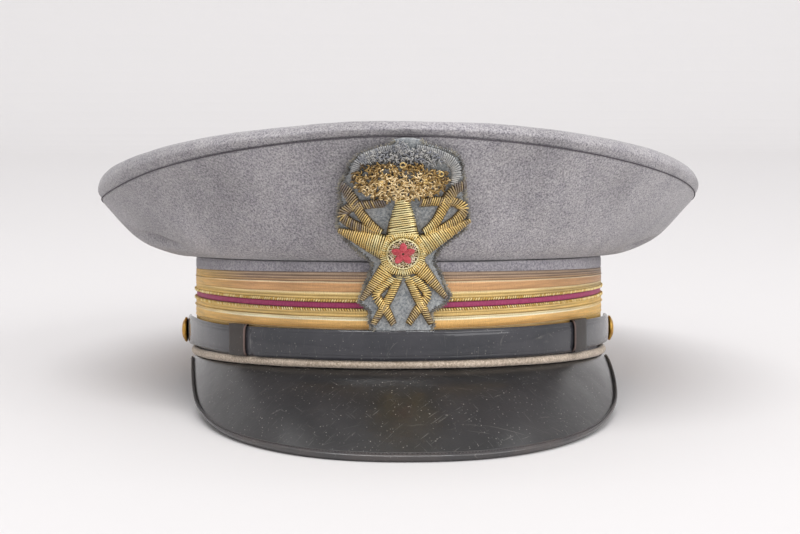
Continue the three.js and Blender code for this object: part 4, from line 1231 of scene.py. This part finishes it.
# %% Model the disc, the ring and the rosette
DISC_TOP = PATCH_THICK + 3 + 3 * GAP + 1.0
GOLDEN_ANGLE = math.pi * (3 - math.sqrt(5))
bm = bmesh.new()
CHIPS = 170
for i in range(CHIPS):
    reach, turn = 4.7 * math.sqrt((i + 0.5) / CHIPS), i * GOLDEN_ANGLE
    spot = HUB + heading(turn) * reach
    chip(bm, spot, chance.uniform(0, math.pi), DISC_TOP - 0.2, 1.2, 0.24, 0.25,
         chance.choice((0, 0.2, 0.4, 0.6)))
finish_wires(bm, "disc_chips", pale_wire)
dress_padding("badge_disc", padding_and_gap_shade)


def twisted_ring(u, v):
    turn, round_it = math.tau * u, math.tau * v
    radius = 0.34 * (1 + 0.35 * math.cos(2 * round_it + turn * 30))
    spot = HUB + heading(turn) * (5.2 + radius * math.cos(round_it))
    return on_badge(spot.x, spot.y, DISC_TOP - 0.3 + radius * math.sin(round_it))


bm = bmesh.new()
bend_grid(bm, 210, 8, twisted_ring)
finish_wires(bm, "disc_ring", gold_wire)

red_silk = mottled("red_satin_silk", {"Roughness": 0.45, "Sheen Weight": 0.2}, 1.2, 3.0,
                   [(0.3, "#c23c4c"), (0.7, "#e4666e")])
PETALS, PETAL_THREADS = 5, 15
bm = bmesh.new()
for petal in range(PETALS):
    turn = math.tau * petal / PETALS
    out = heading(turn)
    side = Vector((-out.y, out.x))
    for i in range(PETAL_THREADS):
        share = (i + 0.5) / PETAL_THREADS
        half = 1.3 * math.sin(math.pi * min(share * 0.9 + 0.06, 1)) ** 0.7
        arched_wire(bm, HUB + out * (0.4 + 3.5 * share), side, out, half, 0.5, DISC_TOP + 0.25, 0.17,
                    0.0, on_badge, steps=6, sides=5)
finish_wires(bm, "rosette_silk", red_silk, ["badge_rosette"])

# %% [markdown]
# ## The coronet
# The coronet is the busiest part: gilt purl, a springy hollow wire, cut into short curling bits and heaped
# over an oval pad, with gaps where the lining shows. Above it, arches of silver bullion have tarnished to
# blue-grey. The bits are strewn with a seeded random draw, so that the heap is the same on each run, and
# they are browner towards the rim.

# %% Model the coronet
CORONET = Vector((-1.9, 67.6))
CORONET_HALF = (16.2, 7.6)
BOWL_TOP = 72.4


def strewn(centre, half, count, draw):
    """Calls draw for places spread evenly but at random over an oval, with their share of the way out."""
    for i in range(count):
        turn, reach = i * GOLDEN_ANGLE, math.sqrt((i + 0.5) / count)
        spot = centre + Vector((math.sin(turn) * half[0], math.cos(turn) * half[1])) * reach
        draw(spot + Vector((chance.gauss(0, 0.35), chance.gauss(0, 0.35))), reach)


def gold_curl(spot, reach):
    if spot.y > BOWL_TOP or (spot.y > 67 and uneven(Vector((spot.x, spot.y, 0)), 2.6) > 0.12):
        return
    height = PATCH_THICK + GAP + 3.0 * math.sqrt(1 - 0.9 * reach * reach)
    age = min(max(0.5 * reach ** 2 + 0.05 * (spot.y - 66) + chance.gauss(0.05, 0.25), 0), 1)
    chip(bm, spot, chance.uniform(0, math.tau), height, chance.uniform(1.5, 3.2), chance.uniform(0.24, 0.36),
         chance.uniform(0.2, 1.0), age, chance.choice((-4.2, -2.5, 0.5, 2.5, 4.2)), steps=9)


bm = bmesh.new()
strewn(CORONET, CORONET_HALF, 760, gold_curl)
finish_wires(bm, "coronet_curls", purl_wire)
dress_padding("badge_coronet", patch_felt)

COILS = [(-1.2, 72.2, 0.9), (-8.4, 66.0, 0.7), (6.4, 66.8, 0.6), (11.6, 69.2, 0.8)]
bm = bmesh.new()
for x, z, radius in COILS:
    for turn in (0, math.pi):
        spot = Vector((x, z)) + Vector((0, math.copysign(radius * 0.97, turn - 1)))
        chip(bm, spot, turn, PATCH_THICK + 3.7, math.pi * radius, 0.26, 0.1, 0.45, 3.1, steps=10)
finish_wires(bm, "coronet_coils", gold_wire)

ARCHES = [
    [(-17.6, 70.2, 1.5), (-15.2, 74.0, 1.9), (-9.0, 76.6, 1.9), (-3.2, 78.2, 1.3)],
    [(-12.0, 73.0, 1.5), (-9.0, 74.8, 1.7), (-3.8, 76.4, 1.4)],
    [(-5.4, 73.8, 1.4), (-3.4, 75.6, 1.5), (-2.4, 77.6, 1.2)],
    [(1.8, 73.8, 1.4), (0.6, 75.8, 1.5), (-0.6, 77.6, 1.2)],
    [(8.6, 73.0, 1.5), (5.6, 75.2, 1.7), (0.4, 76.8, 1.4)],
    [(16.4, 66.0, 1.4), (17.0, 71.0, 1.9), (12.6, 75.2, 2.0), (3.6, 78.0, 1.4)],
]


def grey_curl(spot, reach):
    height = PATCH_THICK + 1.4 + 0.9 * (1 - reach)
    chip(bm, spot, chance.uniform(0, math.tau), height, chance.uniform(1.2, 2.4), chance.uniform(0.22, 0.32),
         chance.uniform(0.1, 0.5), chance.uniform(0.2, 1), chance.uniform(-4, 4))


ORB, ORB_RADIUS = Vector((-1.8, 78.2)), 1.7


def orb_curl(spot, reach):
    height = PATCH_THICK + GAP + ORB_RADIUS * (1.6 + 1.35 * math.sqrt(max(1 - reach * reach, 0)))
    chip(bm, spot, chance.uniform(0, math.tau), height, 1.3, 0.26, 0.2, chance.uniform(0.3, 1), 2.0)


bm = bmesh.new()
for rows in ARCHES:
    wire_strand(bm, rows, 0.66, 0.3, (chance.uniform(0.3, 0.6), chance.uniform(0.6, 0.9)), lift=0.1)
strewn(Vector((-1.4, 74.4)), (15.0, 3.2), 190, grey_curl)
strewn(ORB, (ORB_RADIUS + 0.3, ORB_RADIUS + 0.3), 60, orb_curl)
finish_wires(bm, "coronet_arches", grey_wire)

# %% [markdown]
# ## Table, light and camera
# The cap stands on white paper that sweeps up behind it, seen from a little above the peak with a long
# lens. A large soft panel on the right is the main light, so the soft shadow falls to the left. A long
# narrow one above the front draws a bright line along the strap's upper edge, a third lights the paper
# behind, and a pale world does the rest.

# %% Paper sweep
SWEEP_START = 1.2
SWEEP_ROUND = 0.55
SWEEP_SIZE = 12.0


def paper_sweep(u, v):
    reach = v * 3 * SWEEP_SIZE
    turn = min(max((reach - SWEEP_SIZE - SWEEP_START) / SWEEP_ROUND, 0), math.pi / 2)
    past = max(reach - SWEEP_SIZE - SWEEP_START - SWEEP_ROUND * math.pi / 2, 0)
    flat = min(reach - SWEEP_SIZE, SWEEP_START)
    return Vector(((u - 0.5) * 2 * SWEEP_SIZE, flat + SWEEP_ROUND * math.sin(turn),
                   SWEEP_ROUND * (1 - math.cos(turn)) + past))


paper = new_material("white_paper", {"Roughness": 0.9, "Base Color": colour("#dddbdb")})[0]
bm = bmesh.new()
bend_grid(bm, 1, 1440, paper_sweep)
mesh = bpy.data.meshes.new("paper_sweep")
bm.to_mesh(mesh)
bm.free()
sweep = bpy.data.objects.new("paper_sweep", mesh)
scene.collection.objects.link(sweep)
sweep.data.materials.append(paper)

# %% Light
world = bpy.data.worlds.new("pale_room")
scene.world = world
world.use_nodes = True
world.node_tree.nodes["Background"].inputs["Color"].default_value = colour("#f6f5f6")
world.node_tree.nodes["Background"].inputs["Strength"].default_value = 0.86


def soft_panel(name, place, target, size, power):
    light = bpy.data.lights.new(name, "AREA")
    light.shape = "RECTANGLE"
    light.size, light.size_y = size
    light.energy = power
    lamp = bpy.data.objects.new(name, light)
    lamp.location = place
    lamp.rotation_euler = (Vector(target) - Vector(place)).to_track_quat("-Z", "Y").to_euler()
    scene.collection.objects.link(lamp)


soft_panel("panel_right", (1.3, -1.1, 1.0), (0, 0.1, 0.05), (1.3, 1.1), 13)
soft_panel("panel_above", (-0.15, -0.5, 1.35), (0, 0, 0.05), (1.2, 0.12), 9)
soft_panel("panel_backdrop", (0, 0.9, 2.2), (0, 1.8, 0.3), (3.0, 0.8), 10)

# %% Camera
SENSOR, LENS = 36, 82.08
CAMERA_AT, CAMERA_AIM = (-16.5, -749.9, 153.0), (0.6, 2.5, 47.2)
camera_data = bpy.data.cameras.new("long_lens")
camera_data.sensor_width = SENSOR
camera_data.lens = LENS
camera_data.clip_start, camera_data.clip_end = 0.01, 50
camera = bpy.data.objects.new("long_lens", camera_data)
camera.location = Vector(CAMERA_AT) * MM
aim = Vector(CAMERA_AIM) * MM
camera.rotation_euler = (aim - camera.location).to_track_quat("-Z", "Y").to_euler()
scene.collection.objects.link(camera)
scene.camera = camera
scene.view_settings.view_transform = "Standard"
